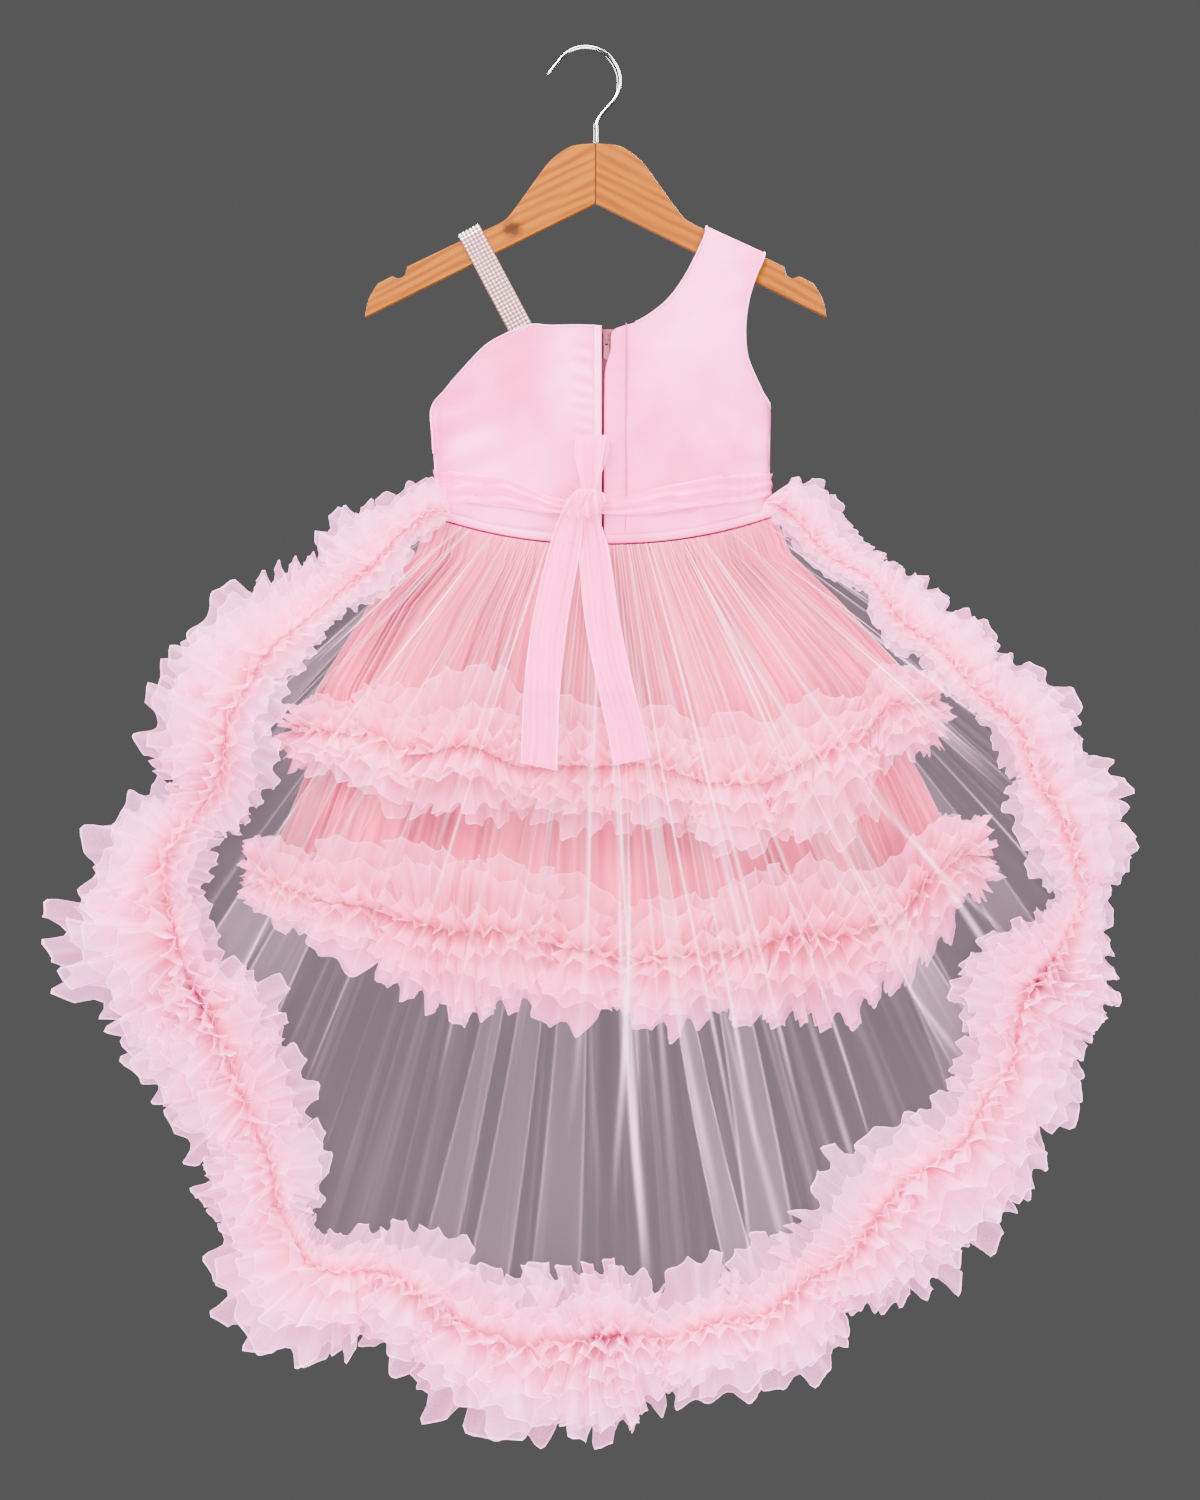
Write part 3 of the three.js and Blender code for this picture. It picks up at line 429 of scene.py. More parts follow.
class Cloth:
    """Grids of cloth that become one mesh, with its own map of the cloth and marks for its finish."""

    def __init__(self, name: str) -> None:
        """Starts an empty piece with that name."""
        self.name = name
        self.points: list[Array] = []
        self.maps: list[Array] = []
        self.faces: list[Array] = []
        self.marks: dict[str, list[Array]] = {"fold": [], "edge": [], "tone": []}
        self.count = 0

    def grid(
        self,
        points: Array,
        edge: Array | float = 0.0,
        tone: Array | float = 0.5,
        fold: Array | None = None,
        closed: bool = False,
    ) -> "Cloth":
        """Adds an open sheet from a grid of points.

        Args:
            points: Rows and columns of points.
            edge: How near the cloth's edge each point is, from 0 to 1, or on some satin pieces how far into a wrinkle
                or pleat hollow; the finishes paint shade and sheen by it.
            tone: A slow change over the cloth, from 0 to 1.
            fold: How folded it is, from 0 to 1, or None to work it out from how it faces; tulle gives folds more cover
                and a paler painted sheen.
            closed: Whether the last column joins the first.

        Returns:
            This piece.
        """
        rows, columns = points.shape[:2]
        step_u = np.linalg.norm(np.diff(points, axis=1, prepend=points[:, :1]), axis=-1).mean(0).cumsum()
        step_v = np.linalg.norm(np.diff(points, axis=0, prepend=points[:1]), axis=-1).mean(1).cumsum()
        cloth_map = np.stack(np.meshgrid(step_u, step_v), -1)
        if fold is None:
            fold = 1 - np.abs(grid_normals(points)[..., 1])
        index = np.arange(rows * columns).reshape(rows, columns)
        if closed:
            index = np.concatenate([index, index[:, :1]], 1)
        corners = [index[:-1, :-1], index[:-1, 1:], index[1:, 1:], index[1:, :-1]]
        self.faces.append(np.stack(corners, -1).reshape(-1, 4) + self.count)
        self.points.append(points.reshape(-1, 3))
        self.maps.append(cloth_map.reshape(-1, 2))
        for name, values in (("fold", fold), ("edge", edge), ("tone", tone)):
            self.marks[name].append(np.broadcast_to(values, (rows, columns)).reshape(-1))
        self.count += rows * columns
        return self

    def shell(self, points: Array, wall: float, out: Array | None = None, **marks: Any) -> "Cloth":
        """Adds a closed shell: the grid, a copy of it one wall in, and the rim between them.

        Args:
            points: Rows and columns of points on the outside.
            wall: The cloth's thickness.
            out: The way out of the cloth, or None for the grid's own normals.
            **marks: The marks that grid() takes.

        Returns:
            This piece.
        """
        rows, columns = points.shape[:2]
        normals = grid_normals(points) if out is None else out
        first = self.count
        self.grid(points, **marks)
        self.grid(points - normals * wall, **marks)
        self.faces[-1] = self.faces[-1][:, ::-1]
        outer = np.arange(rows * columns).reshape(rows, columns) + first
        path = [outer[0, :-1], outer[:-1, -1], outer[-1, :0:-1], outer[:0:-1, 0]]
        rim = np.concatenate(path)
        after = np.roll(rim, -1)
        inner = rows * columns
        self.faces.append(np.stack([after, rim, rim + inner, after + inner], -1))
        return self

    def tube(self, path: Array, radius: Array | float, sides: int = 12, **marks: Any) -> "Cloth":
        """Adds a round tube along a path, closed by a cone at each end.

        Args:
            path: Points along the middle.
            radius: Its radius, one number or one for each point.
            sides: How many sides it has.
            **marks: The marks that grid() takes.

        Returns:
            This piece.
        """
        path = np.asarray(path, float)
        tangent = unit(np.gradient(path, axis=0))
        start = np.array([0.0, 1.0, 0.0]) if abs(tangent[0, 1]) < 0.9 else np.array([1.0, 0.0, 0.0])
        frame_x = [unit(np.cross(tangent[0], start))]
        for way in tangent[1:]:
            last = frame_x[-1]
            frame_x.append(unit(last - way * np.dot(last, way)))
        side_x = np.array(frame_x)
        side_y = np.cross(tangent, side_x)
        radii = np.broadcast_to(radius, (len(path),)).astype(float)
        turn = np.linspace(0, 2 * math.pi, sides, endpoint=False)
        offset = side_x[:, None] * np.cos(turn)[None, :, None] + side_y[:, None] * np.sin(turn)[None, :, None]
        points = path[:, None] + offset * radii[:, None, None]
        first = self.count
        self.grid(points, closed=True, **marks)
        self.faces[-1] = self.faces[-1][:, ::-1]
        ends = np.stack([path[0] - tangent[0] * radii[0] * 0.5, path[-1] + tangent[-1] * radii[-1] * 0.5])
        self.points.append(ends)
        self.maps.append(np.zeros((2, 2)))
        for values in self.marks.values():
            values.append(np.full(2, values[-1].flat[0]))
        ring_start = np.arange(sides) + first
        ring_end = ring_start + (len(path) - 1) * sides
        near, far = self.count, self.count + 1
        self.count += 2
        quads = [[a, np.roll(ring_start, -1)[k], near, near] for k, a in enumerate(ring_start)]
        quads += [[np.roll(ring_end, -1)[k], a, far, far] for k, a in enumerate(ring_end)]
        self.faces.append(np.array(quads))
        return self

    def build(self, material: bpy.types.Material, slot: str) -> bpy.types.Object:
        """Makes the mesh object.

        Args:
            material: Its finish.
            slot: The record's material slot that the finish stands for.

        Returns:
            The object, riding on the dress.
        """
        faces = np.concatenate(self.faces)
        triangle = faces[:, 2] == faces[:, 3]
        loops = np.concatenate([faces[~triangle].reshape(-1), faces[triangle][:, :3].reshape(-1)])
        sizes = np.concatenate([np.full((~triangle).sum(), 4), np.full(triangle.sum(), 3)])
        starts = np.concatenate([[0], np.cumsum(sizes)[:-1]])
        mesh = bpy.data.meshes.new(self.name)
        mesh.vertices.add(self.count)
        mesh.vertices.foreach_set("co", np.concatenate(self.points).reshape(-1))
        mesh.loops.add(len(loops))
        mesh.loops.foreach_set("vertex_index", loops.astype(np.int32))
        mesh.polygons.add(len(sizes))
        mesh.polygons.foreach_set("loop_start", starts.astype(np.int32))
        mesh.update(calc_edges=True)
        mesh.shade_smooth()
        layer = mesh.uv_layers.new(name="UVMap")
        layer.uv.foreach_set("vector", np.concatenate(self.maps)[loops].reshape(-1))
        for name, values in self.marks.items():
            mark = mesh.attributes.new(name, "FLOAT", "POINT")
            mark.data.foreach_set("value", np.concatenate(values).astype(np.float32))
        mesh.materials.append(material)
        return place(bpy.data.objects.new(self.name, mesh), slot)

    def area(self) -> float:
        """The cloth's area, from its grids."""
        points, faces = np.concatenate(self.points), np.concatenate(self.faces)
        a, b, c, d = (points[faces[:, k]] for k in range(4))
        return float(np.linalg.norm(np.cross(c - a, d - b), axis=-1).sum() / 2)


def place(piece: bpy.types.Object, slot: str, body: str = DRESS) -> bpy.types.Object:
    """Links a piece to the scene, and makes it ride on a body.

    Args:
        piece: The piece.
        slot: The record's material slot of its finish; not used.
        body: The body that it rides on.

    Returns:
        The piece.
    """
    if piece.name not in bpy.context.scene.collection.all_objects:
        bpy.context.scene.collection.objects.link(piece)
    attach(piece, body)
    triangles = sum(len(face.vertices) - 2 for face in piece.data.polygons)
    log.info("%s: %d triangles", piece.name, triangles)
    return piece


class Value:
    """A shader value that Python's operators work on."""

    def __init__(self, shader: "Shader", socket: bpy.types.NodeSocket) -> None:
        """Wraps an output socket of that shader."""
        self.shader = shader
        self.socket = socket

    def _math(self, operation: str, *operands: Any) -> "Value":
        """Adds a Math node for the operation and returns its value."""
        values = dict(enumerate(operands))
        node = self.shader.node("ShaderNodeMath", {"operation": operation}, values)
        return Value(self.shader, node.outputs[0])

    def __add__(self, other: Any) -> "Value":
        """This value plus another."""
        return self._math("ADD", self, other)

    __radd__ = __add__

    def __sub__(self, other: Any) -> "Value":
        """This value less another."""
        return self._math("SUBTRACT", self, other)

    def __rsub__(self, other: Any) -> "Value":
        """Another value less this one."""
        return self._math("SUBTRACT", other, self)

    def __mul__(self, other: Any) -> "Value":
        """This value times another."""
        return self._math("MULTIPLY", self, other)

    __rmul__ = __mul__

    def __pow__(self, power: float) -> "Value":
        """This value to a power."""
        return self._math("POWER", self, power)

    def clamp(self, low: float = 0.0, high: float = 1.0) -> "Value":
        """This value kept between two limits."""
        return self._math("MAXIMUM", self._math("MINIMUM", self, high), low)

    def step(self, low: float, high: float) -> "Value":
        """A soft step of this value, from 0 at low to 1 at high."""
        inputs = {"Value": self, "From Min": low, "From Max": high}
        node = self.shader.node("ShaderNodeMapRange", {"interpolation_type": "SMOOTHSTEP"}, inputs)
        return Value(self.shader, node.outputs[0])


class Nodes:
    """A node tree, made by plain calls."""

    tree: bpy.types.NodeTree

    def node(self, kind: str, settings: dict | None = None, inputs: dict | None = None) -> bpy.types.Node:
        """Adds a node.

        Args:
            kind: The node's type.
            settings: Its properties.
            inputs: Values or links of its sockets, by name or number.

        Returns:
            The node.
        """
        made = self.tree.nodes.new(kind)
        for name, value in (settings or {}).items():
            setattr(made, name, value)
        for key, value in (inputs or {}).items():
            if isinstance(value, Value):
                value = value.socket
            elif isinstance(value, bpy.types.Node):
                value = value.outputs[0]
            if isinstance(value, bpy.types.NodeSocket):
                self.tree.links.new(value, made.inputs[key])
            else:
                made.inputs[key].default_value = value
        return made


class Shader(Nodes):
    """A material's node tree."""

    def __init__(self, name: str) -> None:
        """Starts an empty material with that name."""
        self.material = bpy.data.materials.new(name)
        self.material.use_nodes = True
        self.tree = self.material.node_tree
        self.tree.nodes.clear()

    def value(self, kind: str, settings: dict | None = None, inputs: dict | None = None, output: Any = 0) -> Value:
        """Adds a node and gives one of its outputs as a value."""
        return Value(self, self.node(kind, settings, inputs).outputs[output])

    def mark(self, name: str) -> Value:
        """One of the mesh's marks."""
        return self.value("ShaderNodeAttribute", {"attribute_name": name}, None, "Fac")

    def place(self, kind: str, scale: tuple = (1, 1, 1), turn: tuple = (0, 0, 0), move: tuple = (0, 0, 0)) -> Value:
        """Coordinates of the surface: Object or UV, moved, turned and scaled."""
        source = self.value("ShaderNodeTexCoord", None, None, kind)
        inputs = {"Vector": source, "Location": move, "Rotation": turn, "Scale": scale}
        return self.value("ShaderNodeMapping", None, inputs)

    def noise(self, where: Value, scale: float, detail: float = 2.0, rough: float = 0.5) -> Value:
        """Noise over the surface, from 0 to 1."""
        inputs = {"Vector": where, "Scale": scale, "Detail": detail, "Roughness": rough}
        return self.value("ShaderNodeTexNoise", None, inputs, "Fac")

    def stripes(self, where: Value, scale: float, axis: str, bend: float = 0.0) -> Value:
        """Even soft stripes across an axis, from 0 to 1."""
        inputs = {"Vector": where, "Scale": scale, "Distortion": bend, "Detail": 2.0}
        return self.value("ShaderNodeTexWave", {"bands_direction": axis}, inputs, "Fac")

    def mix(self, first: Any, second: Any, share: Any) -> Value:
        """Mixes two colours."""
        inputs = {0: share, 6: first, 7: second}
        return self.value("ShaderNodeMix", {"data_type": "RGBA"}, inputs, 2)

    def bump(self, height: Value, distance: float, strength: float = 1.0) -> Value:
        """A normal that a height raises."""
        return self.value("ShaderNodeBump", None, {"Height": height, "Distance": distance, "Strength": strength})

    def finish(self, surface: bpy.types.Node) -> bpy.types.Material:
        """Links the surface to the output and gives the material."""
        self.node("ShaderNodeOutputMaterial", None, {"Surface": surface})
        return self.material

    def solid(self, inputs: dict) -> bpy.types.Material:
        """Ends the tree with one principled surface and gives the material."""
        return self.finish(self.node("ShaderNodeBsdfPrincipled", None, inputs))


Colour = tuple[float, float, float, float]


def srgb(red: int, green: int, blue: int) -> Colour:
    """A colour from screen values of 0 to 255."""
    screen = (red / 255, green / 255, blue / 255)
    linear = [c / 12.92 if c <= 0.04045 else ((c + 0.055) / 1.055) ** 2.4 for c in screen]
    return (*linear, 1.0)


@dataclass(frozen=True)
class Tulle:
    """Fine net cloth that shows what is behind it, more at its flats than at its folds and edges."""

    name: str
    # Colour where the edge mark is low; on the ruffles this is painted shade at the root
    deep: Colour
    pale: Colour
    # Painted sheen colour for folds and edges
    rim: Colour
    cover: float
    fold_cover: float
    rim_cover: float
    root_cover: float = 0.0
    rim_from: float = 0.6
    glow: float = 0.5
    streak: float = 0.0

    def material(self) -> bpy.types.Material:
        """Builds the material."""
        shader = Shader(self.name)
        fold, edge, tone = shader.mark("fold"), shader.mark("edge"), shader.mark("tone")
        rim = edge.step(self.rim_from, 1.0)
        weave = shader.noise(shader.place("UV"), 1400, 1)
        # Deep where the edge mark is low and pale further out: on the ruffles, painted shade at the root
        body = shader.mix(self.deep, self.pale, (edge.step(0.0, 0.5) * 0.8 + (tone - 0.4) * 0.5).clamp())
        # Painted sheen: folds and edges turn to the paler rim colour, while their extra cover below is the denser
        # doubled net
        crest = (fold**2.0 * 0.6 + rim * 0.7).clamp()
        colour = shader.mix(body, self.rim, crest)
        cover = fold**1.7 * self.fold_cover + rim * self.rim_cover + (weave - 0.5) * self.cover * 0.5 + self.cover
        if self.root_cover:
            cover = cover + (1 - edge.step(0.0, 0.75)) * self.root_cover
        if self.streak:
            streaks = shader.noise(shader.place("UV", (1, 0.012, 1)), 170, 3, 0.65).step(0.45, 0.8)
            cover = cover + streaks * self.streak
        inputs = {"Base Color": colour, "Roughness": 0.85, "Specular IOR Level": 0.15}
        inputs["Normal"] = shader.bump(weave, 0.0003, 0.5)
        front = shader.node("ShaderNodeBsdfPrincipled", None, inputs)
        through = shader.node("ShaderNodeBsdfTranslucent", None, {"Color": self.pale})
        lit = (edge.step(0.0, 0.5) * 0.5 + 0.5) * self.glow
        cloth = shader.node("ShaderNodeMixShader", None, {0: lit, 1: front, 2: through})
        clear = shader.node("ShaderNodeBsdfTransparent")
        return shader.finish(shader.node("ShaderNodeMixShader", None, {0: cover.clamp(), 1: clear, 2: cloth}))


@dataclass(frozen=True)
class Satin:
    """Smooth satin with a fine weave, painted soft clouds of shade, painted shade where its edge mark is high, and a
    paler sheen on its folds.
    """

    name: str
    light: Colour
    shade: Colour
    # Painted shade colour, laid where the piece's edge mark is high
    deep: Colour
    roughness: float = 0.42

    def material(self) -> bpy.types.Material:
        """Builds the material."""
        shader = Shader(self.name)
        cloud = shader.noise(shader.place("Object", (1, 1, 0.6), (0, 0.5, 0)), 15, 3, 0.5).step(0.32, 0.68)
        body = shader.mix(self.light, self.shade, cloud)
        # Painted shade: the deep colour goes where the edge mark is high, at edges, seams, wrinkles, pleat hollows and
        # along the zip's slit
        colour = shader.mix(body, self.deep, (shader.mark("edge") ** 1.5 * 0.5).clamp())
        warp = shader.stripes(shader.place("UV"), 900, "X", 0.4)
        weft = shader.stripes(shader.place("UV"), 500, "Y", 0.4)
        slub = shader.noise(shader.place("UV", (1, 0.08, 1)), 500, 2)
        normal = shader.bump(warp * 0.4 + weft * 0.3 + slub * 0.6, 0.00012, 0.6)
        inputs = {"Base Color": colour, "Roughness": self.roughness + (cloud - 0.5) * 0.08, "Normal": normal}
        inputs["Specular IOR Level"] = 0.3
        return shader.solid(inputs)


@dataclass(frozen=True)
class Wood:
    """Lacquered softwood with straight grain along the arm and one dark knot."""

    name: str
    light: Colour
    dark: Colour
    knot_colour: Colour
    tilt: float
    knot: tuple[float, float, float] | None = None

    def material(self) -> bpy.types.Material:
        """Builds the material."""
        shader = Shader(self.name)
        arm = shader.place("Object", turn=(0, self.tilt, 0))
        fine = shader.value("ShaderNodeMapping", None, {"Vector": arm, "Scale": (4, 42, 42)})
        long = shader.value("ShaderNodeMapping", None, {"Vector": arm, "Scale": (0.15, 1, 1)})
        fibre = shader.noise(fine, 7, 2, 0.5)
        rings = shader.stripes(long, 42, "Z", 7.0)
        grain = (fibre * 0.65 + rings * 0.35).step(0.3, 0.8)
        colour = shader.mix(self.light, self.dark, grain * 0.75)
        if self.knot:
            x, y, z = self.knot
            near = shader.place("Object", (1, 1, 1.3), (0, 0, 0), (-x, -y, -z * 1.3))
            away = shader.value("ShaderNodeVectorMath", {"operation": "LENGTH"}, {0: near}, "Value")
            swirl = shader.noise(near, 300, 2)
            eye = 1 - (away + (swirl - 0.5) * 0.006).step(0.003, 0.0115)
            colour = shader.mix(colour, self.knot_colour, (eye * 0.85).clamp())
        normal = shader.bump(fibre, 0.0002, 0.4)
        inputs = {"Base Color": colour, "Roughness": 0.46 + fibre * 0.14, "Normal": normal}
        inputs.update({"Coat Weight": 0.02, "Coat Roughness": 0.3, "Specular IOR Level": 0.08})
        return shader.solid(inputs)


@dataclass(frozen=True)
class Metal:
    """Plated or lacquered metal, or cut stone, with faint wear."""

    name: str
    colour: Colour
    worn: Colour
    metallic: float
    roughness: float

    def material(self) -> bpy.types.Material:
        """Builds the material."""
        shader = Shader(self.name)
        wear = shader.noise(shader.place("Object"), 420, 3)
        colour = shader.mix(self.colour, self.worn, wear.step(0.5, 0.75) * 0.5)
        inputs = {"Base Color": colour, "Metallic": self.metallic, "Roughness": self.roughness + wear * 0.1}
        inputs["Normal"] = shader.bump(wear, 0.00005, 0.3)
        return shader.solid(inputs)


@dataclass(frozen=True)
class Plain:
    """A plain painted surface with a fine grain, for the floor."""

    name: str
    colour: Colour

    def material(self) -> bpy.types.Material:
        """Builds the material."""
        shader = Shader(self.name)
        grain = shader.noise(shader.place("Object"), 40, 3)
        inputs = {"Base Color": self.colour, "Roughness": 0.7 + grain * 0.1}
        return shader.solid(inputs)


MADE: dict[str, bpy.types.Material] = {}


class Finish(Enum):
    """Every finish on the dress and its hanger."""

    SATIN = Satin("dress_satin", srgb(221, 96, 164), srgb(201, 54, 124), srgb(188, 36, 92))
    # Darker copy of the dress satin: painted shade on the right placket strip
    FACING = Satin("shaded_facing_satin", srgb(212, 80, 146), srgb(203, 64, 132), srgb(186, 34, 90))
    # Paler copy of the dress satin: painted highlight on the bound edges and the raised left placket strip
    PIPING = Satin("highlit_edge_satin", srgb(219, 126, 174), srgb(214, 110, 163), srgb(203, 76, 132), 0.4)
    LINING = Satin("skirt_lining", srgb(200, 42, 100), srgb(168, 32, 78), srgb(112, 10, 34), 0.6)
    TAPE = Satin("woven_zip_tape", srgb(126, 35, 63), srgb(108, 27, 50), srgb(62, 7, 19), 0.7)
    RUFFLE = Tulle(
        "frilled_tulle", srgb(249, 92, 150), srgb(255, 168, 220), srgb(255, 212, 242), 0.32, 0.58, 0.3, 0.3, 0.965, 0.42
    )
    TIER = Tulle(
        "tier_tulle", srgb(249, 78, 140), srgb(255, 142, 204), srgb(255, 186, 228), 0.44, 0.52, 0.12, 0.2, 0.96, 0.42
    )
    NET = Tulle(
        "sheer_tulle",
        srgb(228, 184, 212),
        srgb(236, 190, 218),
        srgb(254, 196, 226),
        0.028,
        0.56,
        0.2,
        glow=0.4,
        streak=0.03,
    )
    SASH = Tulle(
        "folded_tulle", srgb(252, 100, 184), srgb(255, 114, 196), srgb(255, 164, 220), 0.46, 0.36, 0.3, glow=0.36
    )
    WOOD_LEFT = Wood(
        "wood_left", srgb(112, 60, 0), srgb(84, 34, 0), srgb(32, 11, 2), math.radians(26), (-0.059, -0.006, -0.1405)
    )
    WOOD_RIGHT = Wood("wood_right", srgb(109, 57, 0), srgb(82, 33, 0), srgb(32, 11, 2), math.radians(-26))
    CHROME = Metal("plated_wire", (0.46, 0.47, 0.5, 1), (0.33, 0.34, 0.37, 1), 1.0, 0.08)
    ZIP = Metal("zip_lacquer", srgb(136, 76, 90), srgb(100, 50, 62), 0.7, 0.3)
    STONE = Metal("cut_stone", (0.5, 0.48, 0.51, 1), (0.37, 0.32, 0.36, 1), 0.35, 0.12)
    BACKING = Satin("strap_backing", srgb(112, 48, 50), srgb(96, 38, 40), srgb(72, 27, 29), 0.7)
    THREAD = Satin("thread", srgb(214, 134, 172), srgb(206, 118, 158), srgb(196, 98, 140), 0.6)
    FLOOR = Plain("floor_paint", srgb(170, 168, 168))

    def made(self) -> bpy.types.Material:
        """This finish's material, made the first time that it is asked for."""
        if self.name not in MADE:
            MADE[self.name] = self.value.material()
        return MADE[self.name]


class NodeTree(Nodes):
    """A geometry node tree."""

    def __init__(self, name: str, sizes: dict[str, float]) -> None:
        """Starts a tree with a geometry input and named sizes."""
        self.tree = bpy.data.node_groups.new(name, "GeometryNodeTree")
        self.tree.interface.new_socket("Geometry", in_out="INPUT", socket_type="NodeSocketGeometry")
        for size in sizes:
            self.tree.interface.new_socket(size, in_out="INPUT", socket_type="NodeSocketFloat")
        self.tree.interface.new_socket("Geometry", in_out="OUTPUT", socket_type="NodeSocketGeometry")
        self.start = self.tree.nodes.new("NodeGroupInput")
        self.sizes = sizes

    def run(self, host: bpy.types.Object, result: bpy.types.NodeSocket, material: bpy.types.Material) -> bpy.types.Mesh:
        """Ends the tree, runs it on a host object and gives the plain mesh.

        Args:
            host: The object that the copies follow.
            result: The socket with the instances.
            material: The copies' finish.

        Returns:
            The mesh.
        """
        real = self.node("GeometryNodeRealizeInstances", None, {0: result})
        dressed = self.node("GeometryNodeSetMaterial", None, {0: real.outputs[0], "Material": material})
        end = self.tree.nodes.new("NodeGroupOutput")
        self.tree.links.new(dressed.outputs[0], end.inputs[0])
        modifier = host.modifiers.new("copies", "NODES")
        modifier.node_group = self.tree
        for item in self.tree.interface.items_tree:
            if item.in_out == "INPUT" and item.name in self.sizes:
                modifier[item.identifier] = self.sizes[item.name]
        graph = bpy.context.evaluated_depsgraph_get()
        mesh = bpy.data.meshes.new_from_object(host.evaluated_get(graph), depsgraph=graph)
        host.modifiers.remove(modifier)
        return mesh


def host_object(name: str, points: Array, faces: list, edges: list | None = None) -> bpy.types.Object:
    """A helper mesh that copies follow, linked to the scene until drop() removes it."""
    mesh = bpy.data.meshes.new(name)
    mesh.from_pydata([tuple(p) for p in points], edges or [], faces)
    host = bpy.data.objects.new(name, mesh)
    bpy.context.scene.collection.objects.link(host)
    return host


def drop(host: bpy.types.Object) -> None:
    """Removes a helper object and its mesh."""
    mesh = host.data
    bpy.data.objects.remove(host)
    bpy.data.meshes.remove(mesh)


class Stitches:
    """Rows of short stitches along lines of points."""

    def __init__(self, name: str, pitch: float = 0.0026, length: float = 0.0017, thick: float = 0.00028) -> None:
        """Keeps the stitch's sizes."""
        self.name = name
        self.sizes = {"Pitch": pitch, "Length": length, "Thickness": thick}

    def sew(self, lines: list[Array]) -> bpy.types.Object:
        """Makes the stitches.

        Args:
            lines: Points along each line, on the cloth's outside.

        Returns:
            The piece.
        """
        points = np.concatenate(lines)
        starts = np.cumsum([0] + [len(line) for line in lines])
        edges = [(i, i + 1) for a, b in zip(starts[:-1], starts[1:]) for i in range(a, b - 1)]
        host = host_object(f"{self.name}_lines", points, [], edges)
        tree = NodeTree(f"{self.name}_tree", self.sizes)
        size = tree.start.outputs
        curve = tree.node("GeometryNodeMeshToCurve", None, {0: size["Geometry"]})
        inputs = {0: curve.outputs[0], "Length": size["Pitch"]}
        spaced = tree.node("GeometryNodeResampleCurve", {"mode": "LENGTH"}, inputs)
        tangent = tree.node("GeometryNodeInputTangent")
        turned = tree.node("FunctionNodeAlignRotationToVector", {"axis": "Z"}, {"Vector": tangent.outputs[0]})
        shape = {"Vertices": 6, "Radius": size["Thickness"], "Depth": size["Length"]}
        stitch = tree.node("GeometryNodeMeshCylinder", None, shape)
        inputs = {"Points": spaced.outputs[0], "Instance": stitch.outputs["Mesh"], "Rotation": turned.outputs[0]}
        copies = tree.node("GeometryNodeInstanceOnPoints", None, inputs)
        mesh = tree.run(host, copies.outputs[0], Finish.THREAD.made())
        drop(host)
        return place(bpy.data.objects.new(self.name, mesh), "satin")


@dataclass(frozen=True)
class Fringe:
    """One layer of a ruffle: how it stands, how far it reaches and how it waves."""

    lean: float
    reach: float
    wave: float
    full: float
    seed: int
    curl: float = 18.0

    def other(self, shift: int) -> "Fringe":
        """The same layer with other waves."""
        return replace(self, seed=self.seed + shift)


